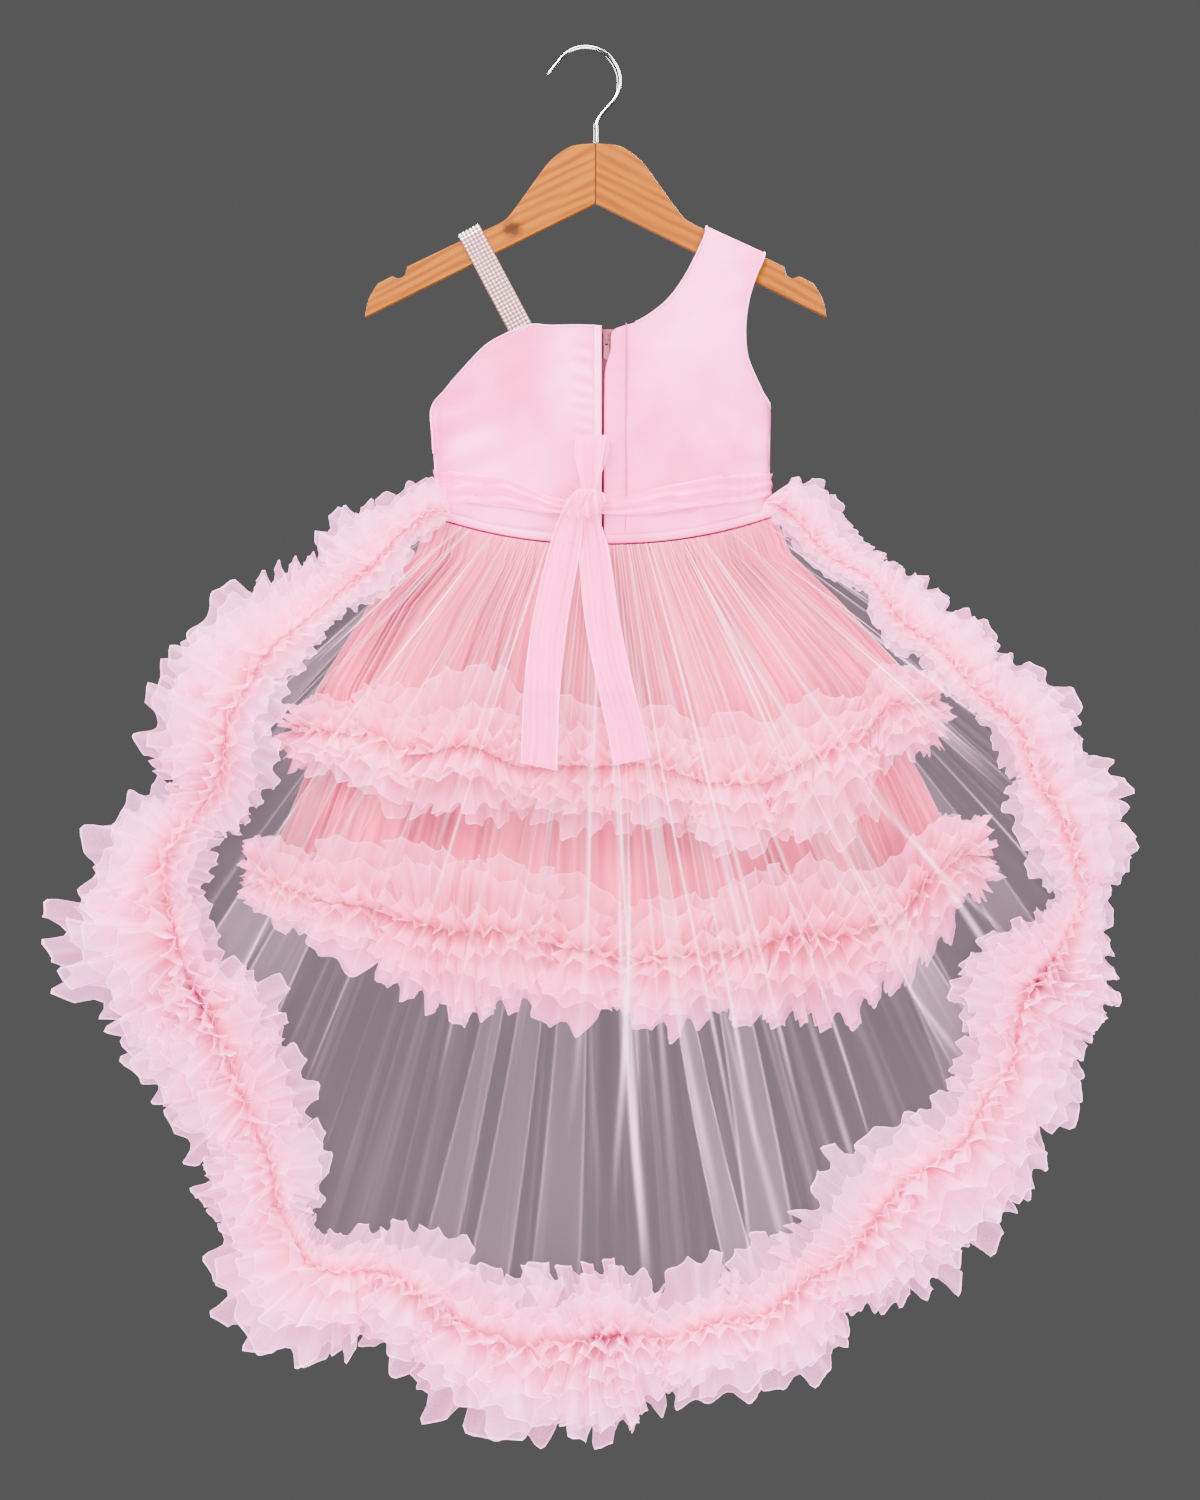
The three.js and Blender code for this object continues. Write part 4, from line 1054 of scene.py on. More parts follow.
class Ruffle:
    """Layers of pleated tulle along a line, which fan out from it in puffs."""

    ROWS = (0.0, 0.1, 0.25, 0.44, 0.64, 0.83, 0.96, 1.0)
    STEP = 0.0013
    PLEAT = 0.0071
    PUFF = 0.066
    PLEAT_DEPTH = 0.0014
    CORNER = 0.032
    BACK_ROOM = (0.099, 0.0125)
    FRONT_ROOM = (0.078, 0.0085)

    def __init__(
        self, points: Array, out: Array, normal: Array, reach: Array, puff: float = PUFF, crisp: float = 1.0
    ) -> None:
        """Keeps the line.

        Args:
            points: Points along it.
            out: The way that the ruffle reaches from each point, in the cloth's surface.
            normal: The way off the cloth at each point.
            reach: How far it reaches at each point.
            puff: The length of one puff along the line.
            crisp: How deep the petals' points are cut.
        """
        self.puff, self.crisp = puff, crisp
        turn = np.arccos(np.clip((normal[1:] * normal[:-1]).sum(-1), -1, 1))
        steps = np.linalg.norm(np.diff(points, axis=0), axis=-1) + self.CORNER * turn
        self.at = np.concatenate([[0], np.cumsum(steps)])
        self.points, self.out, self.normal, self.reach = points, out, normal, reach
        self.length = float(self.at[-1])

    def _read(self, values: Array, s: Array) -> Array:
        """Values along the line at distances s."""
        if values.ndim == 1:
            return np.interp(s, self.at, values)
        return np.stack([np.interp(s, self.at, values[:, k]) for k in range(values.shape[1])], -1)

    def layer(self, cloth: Cloth, fringe: Fringe, keep: Callable[[Array], Array] | None = None) -> None:
        """Adds one layer to a cloth.

        Args:
            cloth: The cloth that takes it.
            fringe: How the layer stands and waves.
            keep: A rule that moves points clear of what lies beside them, or None.
        """
        seed, group = fringe.seed, fringe.seed // 100
        s = np.linspace(0, self.length, max(24, int(self.length / self.STEP)))
        points, reach = self._read(self.points, s), self._read(self.reach, s)
        out, normal = unit(self._read(self.out, s)), unit(self._read(self.normal, s))
        tangent = unit(np.gradient(points, axis=0))
        broad = 2 * math.pi * s / fringe.wave + 2.6 * wander(s, fringe.wave * 2.3, seed) + seed
        pleat = 2 * math.pi * s / self.PLEAT + 4.2 * wander(s, 0.024, seed + 9)
        puff = math.pi * s / self.puff + 1.5 * wander(s, 0.09, group) + 0.35 * wander(s, 0.05, seed + 1)
        swell = np.abs(np.sin(puff))
        fan = -np.cos(np.mod(puff, math.pi)) * smoothstep(0, 0.3, swell)
        petal = 1 + 0.12 * wander(s, fringe.wave * 0.7, seed + 2) + 0.09 * wander(s, 0.05, seed + 4)
        size = reach * fringe.reach * (0.52 + 0.6 * swell**0.8) * petal
        lean = np.radians(fringe.lean + 12 * wander(s, 0.045, seed + 3) + 10 * (swell - 0.5))
        spread = 0.55 * fan + 0.12 * wander(s, fringe.wave * 1.4, seed + 5)
        full = fringe.full * (1 + 0.35 * wander(s, fringe.wave * 1.5, seed + 6))
        rows, place_now, last = [], points.copy(), 0.0
        for t in self.ROWS:
            angle = lean + math.radians(fringe.curl) * t**1.5
            way = np.cos(angle)[:, None] * out + np.sin(angle)[:, None] * normal
            way = unit(way + (spread * t**0.5)[:, None] * tangent)
            place_now = place_now + way * (size * (t - last))[:, None]
            last = t
            off = np.cos(angle)[:, None] * normal - np.sin(angle)[:, None] * out
            wide = full * size * t**0.9
            fine = self.PLEAT_DEPTH * min(1.0, t * 5) * (1 - 0.5 * t)
            lift = wide * np.sin(broad + 0.4 * t) + fine * np.sin(pleat)
            slide = 0.3 * wide * np.sin(2 * broad + 0.8 + t) + 0.5 * fine * np.sin(2 * pleat)
            short = size * t**3 * self.crisp * (0.1 * np.cos(broad + 1.1) + 0.045 * np.cos(2 * broad + 1) + 0.07)
            rows.append(place_now + off * lift[:, None] + tangent * slide[:, None] - way * short[:, None])
        grid = np.array(rows)
        if keep is not None:
            grid = keep(grid)
        grid[..., 1] = ease(-ease(-grid[..., 1], *self.BACK_ROOM), *self.FRONT_ROOM)
        # The edge mark runs from the root to the tips, so the tulle paints shade at the root and a paler sheen at the
        # tips
        edge = np.broadcast_to(np.array(self.ROWS)[:, None], grid.shape[:2])
        tone = np.broadcast_to(0.5 + 0.5 * wander(s, 0.035, seed + 7), grid.shape[:2])
        steep = 1 - np.abs(grid_normals(grid)[..., 1])
        # Pleat crests and cloth turned edge-on to the front and back get the fold mark: denser cover and a paler
        # painted sheen
        crest = (0.5 + 0.5 * np.sin(pleat + 0.6)) ** 6 * (0.6 + 0.4 * wander(s, 0.009, seed + 11))
        cloth.grid(grid, edge=edge, tone=tone, fold=np.clip(steep * 0.8 + 0.5 * crest[None, :], 0, 1))


@dataclass
class Hanger:
    """Two wooden arms that meet in the middle, and the wire hook."""

    centre: float = 0.006
    thickness: float = 0.012
    joint: float = 0.0004
    fork: float = -0.1205
    wire: float = 0.0017
    shoulder: tuple = (
        (0, -0.0737),
        (0.012, -0.0746),
        (0.0215, -0.077),
        (0.0355, -0.0874),
        (0.050, -0.1065),
        (0.062, -0.1232),
        (0.0714, -0.1338),
        (0.0885, -0.1424),
        (0.105, -0.1498),
        (0.1467, -0.1697),
    )
    notch: tuple = ((0.1486, -0.1764), (0.1532, -0.179), (0.1587, -0.1772))
    tip: tuple = ((0.1697, -0.1829), (0.1767, -0.1946), (0.180, -0.2092))

    def outline(self) -> Array:
        """The arm's outline by distance from the middle and height."""
        top = smooth_rows(np.array(self.shoulder), np.linspace(0, 1, 46))
        notch = smooth_rows(np.array(self.notch), np.linspace(0, 1, 7))
        tip = smooth_rows(np.array(self.tip), np.linspace(0, 1, 10))
        return np.concatenate([[[0, self.fork]], top, notch, tip])

    def arm(self, name: str, side: int, finish: Finish) -> bpy.types.Object:
        """Makes one arm.

        Args:
            name: The piece's name.
            side: -1 for the left arm and 1 for the right one.
            finish: Its wood.

        Returns:
            The piece.
        """
        outline = self.outline()
        x = self.centre + side * np.maximum(outline[:, 0], self.joint / 2)
        half = self.thickness / 2
        count = len(outline)
        front = np.stack([x, np.full(count, -half), outline[:, 1]], -1)
        back = front + [0, self.thickness, 0]
        order = list(range(count)) if side > 0 else list(range(count))[::-1]
        faces = [order[::-1], [k + count for k in order]]
        for a, b in zip(order, order[1:] + order[:1]):
            faces.append([a, b, b + count, a + count])
        mesh = bpy.data.meshes.new(name)
        mesh.from_pydata([tuple(p) for p in np.concatenate([front, back])], [], faces)
        mesh.materials.append(finish.made())
        mesh.shade_smooth()
        piece = bpy.data.objects.new(name, mesh)
        bevel = piece.modifiers.new("rounded", "BEVEL")
        bevel.width, bevel.segments, bevel.limit_method = 0.001, 3, "ANGLE"
        bevel.angle_limit, bevel.harden_normals = math.radians(50), True
        return place(piece, "wood")

    def hook(self) -> bpy.types.Object:
        """Makes the wire hook."""
        centre_x, centre_z, radius, widen = -0.001, -0.0252, 0.0255, 0.0016
        path = [(-0.0315, 0, -0.0195)]
        for angle in np.radians(np.linspace(146, -42, 26)):
            reach = radius + widen * max(0, math.sin(angle) - 0.6 * math.cos(angle))
            path.append((centre_x + reach * math.cos(angle), 0, centre_z + reach * math.sin(angle)))
        path += [(0.0106, 0, -0.0505), (0.0066, 0, -0.0575), (0.0062, 0, -0.064), (0.0062, 0, -0.0735)]
        line = smooth_rows(np.array(path), np.linspace(0, 1, 150))
        radii = self.wire * np.minimum(1, 0.45 + np.arange(150) * 0.2)
        cloth = Cloth("hook_wire").tube(line, radii, 20)
        return cloth.build(Finish.CHROME.made(), "hook")

    def build(self) -> None:
        """Makes the hanger."""
        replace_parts(self.arm("arm_left", -1, Finish.WOOD_LEFT), "hanger_arm_left")
        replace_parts(self.arm("arm_right", 1, Finish.WOOD_RIGHT), "hanger_arm_right")
        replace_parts(self.hook(), "hanger_hook")


@dataclass
class Bodice:
    """The satin bodice: two back panels, a front, bound edges, folds by the zip and the strap."""

    columns: int = 44
    rows: int = 96
    wall: float = CLOTH
    neck_drop: float = 0.009
    armhole_row: int = 22
    neck_row: int = 50

    def panel(self, rows: tuple, side: int, drop: float, in_x: float | None = None) -> Array:
        """A panel's grid.

        Args:
            rows: The panel's table.
            side: -1 for the back and 1 for the front.
            drop: How much lower the neck is.
            in_x: Where the inner edge lies below the neck, or None for the table's own.

        Returns:
            Rows from the waist up, columns from the outer edge in.
        """
        table = np.array([tuple(row) for row in rows])
        if in_x is not None:
            table[table[:, 2] < 0.03, 2] = in_x
        v = np.linspace(0, 1, self.rows)
        read = smooth_rows(table, v)
        u = np.linspace(0, 1, self.columns)[None, :]
        out_x, out_z, inner_x, inner_z, sag, fold = (read[:, k : k + 1] for k in range(6))
        x = out_x + (inner_x - out_x) * u
        neck = smoothstep(-0.3, -0.215, inner_z) * smoothstep(0.14, 0.19, -inner_z)
        z = out_z + (inner_z - out_z) * u + sag * 4 * u * (1 - u) - drop * neck * u
        seam = waist_z((x - WAIST_CENTRE) / WAIST_HALF)
        z = z + (seam - z) * (1 - smoothstep(0, 0.12, v))[:, None]
        if in_x is None and rows is PANEL_LEFT:
            corner = np.exp(-(((x + 0.0445) / 0.011) ** 2)) * smoothstep(0.7, 1, v)[:, None]
            z = z + 0.003 * corner
        depth = body_depth(x, z)
        soft = crumple(x, z, 0.026, 11 + side) * 0.002 + crumple(x, z, 0.008, 5 + side) * 0.0003
        side_fold = smoothstep(0.45, 1, np.abs((x - WAIST_CENTRE) / WAIST_HALF)) * smoothstep(0.26, 0.3, -z)
        soft = soft + side_fold * 0.002 * np.sin((z + 0.5 * np.abs(x)) / 0.0055 + 2 * crumple(x, z, 0.03, 21))
        if side < 0 and rows is PANEL_LEFT:
            soft = soft + self.pucker(x, z) * 0.0011
        gather = np.sin(x / 0.0042 + 3 * crumple(x, z, 0.05, 3)) * 0.0005 * (1 - smoothstep(0, 0.12, v))[:, None]
        lie = np.clip(depth / 0.004, 0, 1)
        y = side * ((depth + (soft + gather) * lie + 0.0006) * fold + 0.0014 * (1 - fold))
        return np.stack([x, y, z], -1)

    @staticmethod
    def pucker(x: Array, z: Array) -> Array:
        """Small wrinkles that the zip's stitching draws in the cloth left of it, from -1 to 1."""
        beside = np.exp(-(((x + 0.0025) / 0.0075) ** 2)) * smoothstep(0.225, 0.245, -z)
        return beside * np.sin((z + 0.35 * x) / 0.0017 + 2.5 * crumple(x, z, 0.016, 9))

    def bound(self, name: str, line: Array, radius: float = 0.0008) -> bpy.types.Object:
        """A rolled satin edge along a line of points."""
        return Cloth(name).tube(line, radius, 8).build(Finish.PIPING.made(), "satin")

    def build(self) -> None:
        """Makes the bodice."""
        left = self.panel(PANEL_LEFT, -1, 0)
        right = self.panel(PANEL_RIGHT, -1, 0)
        front_left = self.panel(PANEL_LEFT, 1, self.neck_drop, 0.0116)
        front_right = self.panel(PANEL_RIGHT, 1, self.neck_drop, 0.0114)
        self.sew_panel("satin_back_left", [left], -1, "bodice_back_left")
        self.sew_panel("satin_back_right", [right], -1, "bodice_back_right")
        self.sew_panel("satin_front", [front_left, front_right], 1, "bodice_front")
        edges = {
            "edge_back_left": np.concatenate([left[self.armhole_row :, 0], left[-1, 1:]]),
            "edge_back_armhole": right[self.armhole_row :, 0],
            "edge_back_neck": right[self.neck_row :, -1],
            "edge_front_left": np.concatenate([front_left[self.armhole_row :, 0], front_left[-1, 1:]]),
            "edge_front_armhole": front_right[self.armhole_row :, 0],
            "edge_front_neck": front_right[self.neck_row :, -1],
        }
        for name, line in edges.items():
            self.bound(name, line)
        self.placket(left, right)

    def sew_panel(self, name: str, grids: list[Array], side: int, node: str) -> None:
        """Args:
            name: The piece's name.
            grids: Its grids.
            side: -1 for the back and 1 for the front.
            node: The solid that it stands for.
        """
        cloth = Cloth(name)
        for grid in grids:
            rows, columns = grid.shape[:2]
            grid, out = faced(grid, side, rows // 2, columns // 2)
            # Painted shade: the satin darkens near the panel's outer and inner edges and, on the left back, in stripes
            # along the pucker wrinkles
            edge = np.abs(np.linspace(-1, 1, columns))[None, :] ** 16 * 0.6 * np.ones((rows, 1))
            if node == "bodice_back_left":
                edge = edge + 0.55 * np.maximum(0, self.pucker(grid[..., 0], grid[..., 2]))
            cloth.shell(grid, self.wall, out, edge=edge)
        piece = cloth.build(Finish.SATIN.made(), "satin")
        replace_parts(piece, node)

    def placket(self, left: Array, right: Array) -> None:
        """Folded strips beside the zip, with their stitches, and the zip's closed line.

        Args:
            left: The left back panel's grid.
            right: The right back panel's grid.
        """
        u = np.linspace(0, 1, 11)[None, :]
        v = np.linspace(0, 1, 90)[:, None]
        lines: list[Array] = []
        for word, grid, out_x, away in (("left", left, 0.0048, -1), ("right", right, 0.0295, 1)):
            inner = grid[:, -1]
            corner = np.interp(out_x, [0.0104, 0.0187, 0.0406], [-0.2168, -0.2188, -0.211])
            top = inner[-1, 2] if away < 0 else -0.2192 + (corner + 0.2192) * u
            z = waist_z(0) + 0.0015 + (top - 0.0008 - waist_z(0)) * v + 0 * u
            order = np.argsort(inner[:, 2])
            near_x = np.interp(z, inner[order, 2], inner[order, 0])
            x = near_x + (out_x - near_x) * u
            raised = 0.0009 * np.sin(math.pi * np.minimum(1, 0.12 + u * 0.86)) ** 0.5
            wrinkle = 0.00025 * np.sin(z / 0.0024 + 4 * crumple(x, z, 0.02, 9)) * u
            strip = np.stack([x, -(body_depth(x, z) + 0.0011 + raised + wrinkle), z], -1)
            line = strip[:-3, 8] + [0, -0.0002, 0]
            if away < 0:
                strip = strip[:, ::-1]
            # Painted shade: each strip darkens towards its long edges
            rim = np.abs(np.linspace(-1, 1, 11))[None, :] ** 5 * 0.7 + 0 * v
            cloth = Cloth(f"placket_{word}").shell(strip[:, ::-1], 0.0008, edge=rim)
            # The left strip takes the paler satin, a painted highlight, and the right strip the darker satin, a painted
            # shade
            piece = cloth.build(Finish.PIPING.made() if away < 0 else Finish.FACING.made(), "satin")
            area = cloth.area() / 2
            width = max(0.0105, abs(out_x - 0.0125))
            1.02 * area / width
            lines.append(line)
        Stitches("zip_stitches").sew(lines)


@dataclass
class Strap:
    """The stone strap: a backing that climbs over the hanger's arm, with stones in rows on it."""

    width: float = 0.0185
    columns: int = 6
    pitch: float = 0.00305
    foot: tuple = (-0.0527, -0.2172)
    head: tuple = (-0.0924, -0.1426)
    across: tuple = (0.874, 0, 0.486)
    tested_row: int = 4

    def middle(self) -> Array:
        """Points along the strap's middle, from the back's seam over the arm to the front's."""
        outside = 0.0076
        shares = np.array([-0.03, 0.1, 0.25, 0.4, 0.55, 0.75, 0.93, 0.99, 1.012])
        start = float(body_depth(np.array(self.foot[0]), np.array(self.foot[1]))) + 0.0002
        y = np.array([start + (outside - start) * min(1, max(0, s) / 0.75) for s in shares])
        y[-2:] = outside - 0.0008, outside * 0.5
        there = np.array([self.foot[0], self.foot[1]])
        way = np.array([self.head[0] - self.foot[0], self.head[1] - self.foot[1]])
        back = [(*(there + way * s), -d) for s, d in zip(shares, y)]
        over = (*(there + way * 1.02), 0.0)
        front = [(a, b, -d) for a, b, d in back[::-1]]
        knots = np.array([(a, d, b) for a, b, d in [*back, over, *front]])
        dense = smooth_rows(knots, np.linspace(0, 1, 400))
        at = np.concatenate([[0], np.cumsum(np.linalg.norm(np.diff(dense, axis=0), axis=-1))])
        count = int(at[-1] / self.pitch)
        even = np.linspace(0, at[-1], count)
        return np.stack([np.interp(even, at, dense[:, k]) for k in range(3)], -1)

    def build(self) -> None:
        """Makes the backing and the stones."""
        middle = self.middle()
        across = np.array(self.across)
        spread = np.linspace(-0.5, 0.5, self.columns * 2 + 1)[None, :, None] * self.width * across
        grid, out = faced(middle[:, None] + spread, -1, self.tested_row, 0)
        cloth = Cloth("strap_backing")
        cloth.shell(grid, CLOTH, out)
        piece = cloth.build(Finish.BACKING.made(), "stones")
        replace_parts(piece, "strap_stones")
        self.stones(middle, across)

    def stones(self, middle: Array, across: Array) -> None:
        """Sets the stones in rows, each turned a little.

        Args:
            middle: Points along the strap's middle, one for each row.
            across: The way across the strap.
        """
        half = self.pitch * (self.columns - 1) / 2
        spread = np.linspace(half, -half, self.columns)[None, :, None] * across
        seats, _ = faced(middle[:, None] + spread, -1, self.tested_row, 0)
        rows, columns = seats.shape[:2]
        index = np.arange(rows * columns).reshape(rows, columns)
        faces = np.stack([index[:-1, :-1], index[:-1, 1:], index[1:, 1:], index[1:, :-1]], -1).reshape(-1, 4)
        host = host_object("stone_seats", seats.reshape(-1, 3), [tuple(int(k) for k in f) for f in faces])
        sizes = {"Girdle": self.pitch * 0.44, "Table": self.pitch * 0.26, "Height": 0.0009}
        tree = NodeTree("stones_tree", sizes)
        size = tree.start.outputs
        shape = {"Vertices": 8, "Radius Top": size["Table"], "Radius Bottom": size["Girdle"], "Depth": size["Height"]}
        stone = tree.node("GeometryNodeMeshCone", None, shape)
        normal = tree.node("GeometryNodeInputNormal")
        turned = tree.node("FunctionNodeAlignRotationToVector", {"axis": "Z"}, {"Vector": normal.outputs[0]})
        angles = {0: (-0.05, -0.05, 0.3), 1: (0.05, 0.05, 0.48), "Seed": 7}
        spin = tree.node("FunctionNodeRandomValue", {"data_type": "FLOAT_VECTOR"}, angles)
        inputs = {0: turned.outputs[0], 1: spin.outputs[0]}
        rotated = tree.node("FunctionNodeRotateRotation", {"rotation_space": "LOCAL"}, inputs)
        inputs = {"Points": size["Geometry"], "Instance": stone.outputs["Mesh"], "Rotation": rotated.outputs[0]}
        copies = tree.node("GeometryNodeInstanceOnPoints", None, inputs)
        mesh = tree.run(host, copies.outputs[0], Finish.STONE.made())
        drop(host)
        mesh.shade_flat()
        place(bpy.data.objects.new("strap_stone_rows", mesh), "stones")


@dataclass
class Zip:
    """The tape behind the slit, and finishes for the slider and pull that the solids give."""

    x: float = 0.0145
    top: float = -0.219
    bottom: float = -0.378
    width: float = 0.022

    def build(self) -> None:
        """Makes the tape and dresses the metal."""
        z = np.linspace(self.top, self.bottom, 60)
        x = self.x + np.linspace(-0.5, 0.5, 15) * self.width
        behind = body_depth(np.full(60, self.x), z) - 0.0018
        rib = 0.0005 * np.exp(-(((x - self.x + 0.0025) / 0.0012) ** 2))
        grid = np.stack([np.tile(x, (60, 1)), -(behind[:, None] + rib[None, :]), np.tile(z[:, None], (1, 15))], -1)
        grid, out = faced(grid[:, ::-1], -1, 0, 0)
        # Painted shade: the tape darkens along the rib that shows in the slit
        edge = np.exp(-(((grid[..., 0] - self.x + 0.0025) / 0.002) ** 2))
        cloth = Cloth("woven_tape")
        cloth.shell(grid, 0.0008, out, edge=edge)
        piece = cloth.build(Finish.TAPE.made(), "zip_tape")
        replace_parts(piece, "zip_tape")
        for name in ("zip_slider", "zip_pull"):
            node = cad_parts[name]
            node.data.materials.clear()
            node.data.materials.append(Finish.ZIP.made())


@dataclass
class Skirt:
    """One skirt tier: its gathered walls, back and front, and the ruffle round its hem."""

    name: str
    rows: tuple
    hem: tuple
    base: float
    pleats: int
    seed: int
    puff: float = 0.088
    crisp: float = 0.6

    def section(self, share: Array, side: int, q: Array, z: Array) -> tuple[Array, Array]:
        """Places round the wall and the ways out of it there.

        Args:
            share: Shares of the way across.
            side: -1 for the back and 1 for the front.
            q: Places across, from -1 to 1.
            z: Heights.

        Returns:
            Places (x, y) and directions (x, y).
        """
        return ring(share, side, *(wall_at(self.rows, q, z, column) for column in ("centre", "half", "depth")))

    def wall(self, side: int) -> tuple[Array, Array]:
        """The wall's grid, rows from the waist down, and how deep in a pleat each point is, for painted shade in the
        hollows.
        """
        u = np.linspace(0, 1, self.pleats * 8 + 1)[None, :]
        v = np.linspace(0, 1, 34)[:, None]
        q = ring_share(u) + 0 * v
        z = (waist_z(q) - 0.002) * (1 - v**1.15) + along(self.hem, "q", q, "z") * v**1.15
        at, out = self.section(u + 0 * v, side, q, z)
        bent = u + 0.01 * v * wander(u, 0.05, 3)
        fine = np.sin(2 * math.pi * self.pleats * u + 5.0 * wander(bent, 0.027, self.seed))
        mid = np.sin(2 * math.pi * 17 * u + 4.0 * wander(u, 0.06, self.seed + 2) + 0.8 * v)
        broad = np.sin(2 * math.pi * 10 * u)
        depth = 0.0014 * smoothstep(0, 0.15, v) + 0.0006
        push = fine * depth * (1 + 0.6 * wander(u, 0.03, self.seed + 1)) + mid * 0.0014 * v**0.5 + broad * 0.0018 * v
        weight = 0.5 + 0.5 * wander(u, 0.043, self.seed + 4)
        mark = 0.5 - (0.16 + 0.2 * weight) * fine - 0.26 * mid + 0 * v
        flat = at + out * push[..., None]
        return np.stack([flat[..., 0], flat[..., 1], z], -1), mark

    def hem_line(self, side: int) -> tuple[Array, Array, Array]:
        """The ruffle's line round one side: points, the way off the cloth there, and places across."""
        share = 0.5 - 0.5 * np.cos(np.linspace(0, math.pi, 500))
        q = ring_share(share)
        z = along(self.hem, "q", q, "z") + 0.009 * wander(share, 0.075, self.seed + 3) + 0.003
        at, out = self.section(share, side, q, z)
        points = np.stack([*(at + out * self.base).T, z], -1)
        normal = np.stack([out[:, 0], out[:, 1], 0 * z], -1)
        return points, normal, q

    def build(self) -> None:
        """Makes the walls and their ruffles."""
        for word, side in (("back", -1), ("front", 1)):
            grid, mark = self.wall(side)
            if side > 0:
                grid, mark = grid[:, ::-1], mark[:, ::-1]
            cloth = Cloth(f"{self.name}_{word}_lining")
            # The pleat mark darkens the lining in its hollows as painted shade
            cloth.grid(grid[:, ::-1], edge=mark[:, ::-1] * 0.9)
            piece = cloth.build(Finish.LINING.made(), "skirt_tulle")
            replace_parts(piece, f"skirt_{self.name}_{word}")
            self.ruffle(word, side)

    def ruffle(self, word: str, side: int) -> None:
        """Makes the ruffle round one side of the hem.

        Args:
            word: Which side, in a word.
            side: -1 for the back and 1 for the front.
        """
        points, normal, q = self.hem_line(side)
        up = np.tile([0.0, 0.0, 1.0], (len(points), 1))
        down = Ruffle(points, -up, normal, along(self.hem, "q", q, "down") * 1.06, self.puff)
        rise = Ruffle(points, up, normal, along(self.hem, "q", q, "up") * 1.24, self.puff, self.crisp)

        def keep(grid: Array) -> Array:
            """Keeps the back's petals inside the net that hangs over them."""
            if side < 0:
                net = net_depth(grid[..., 0], grid[..., 2])
                grid[..., 1] = -ease(-grid[..., 1], net - 0.013, 0.012)
            return grid

        cloth = Cloth(f"{self.name}_{word}_ruffle")
        below = (
            Fringe(2, 1.1, 0.017, 0.08, self.seed + 10, 8),
            Fringe(20, 1.0, 0.016, 0.1, self.seed + 20),
            Fringe(40, 0.9, 0.015, 0.13, self.seed + 30, 10),
            Fringe(64, 0.72, 0.014, 0.16, self.seed + 40, 0),
        )
        above = (
            Fringe(8, 1.12, 0.016, 0.09, self.seed + 50),
            Fringe(30, 1.0, 0.015, 0.12, self.seed + 60, 12),
            Fringe(54, 0.84, 0.014, 0.15, self.seed + 70, 6),
            Fringe(80, 0.6, 0.013, 0.18, self.seed + 80, 0),
        )
        for fringe in below:
            down.layer(cloth, fringe, keep)
        for fringe in above:
            rise.layer(cloth, fringe, keep)
        piece = cloth.build(Finish.TIER.made(), "ruffle_tulle")
        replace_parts(piece, f"ruffle_{self.name}_{word}_left", f"ruffle_{self.name}_{word}_right")


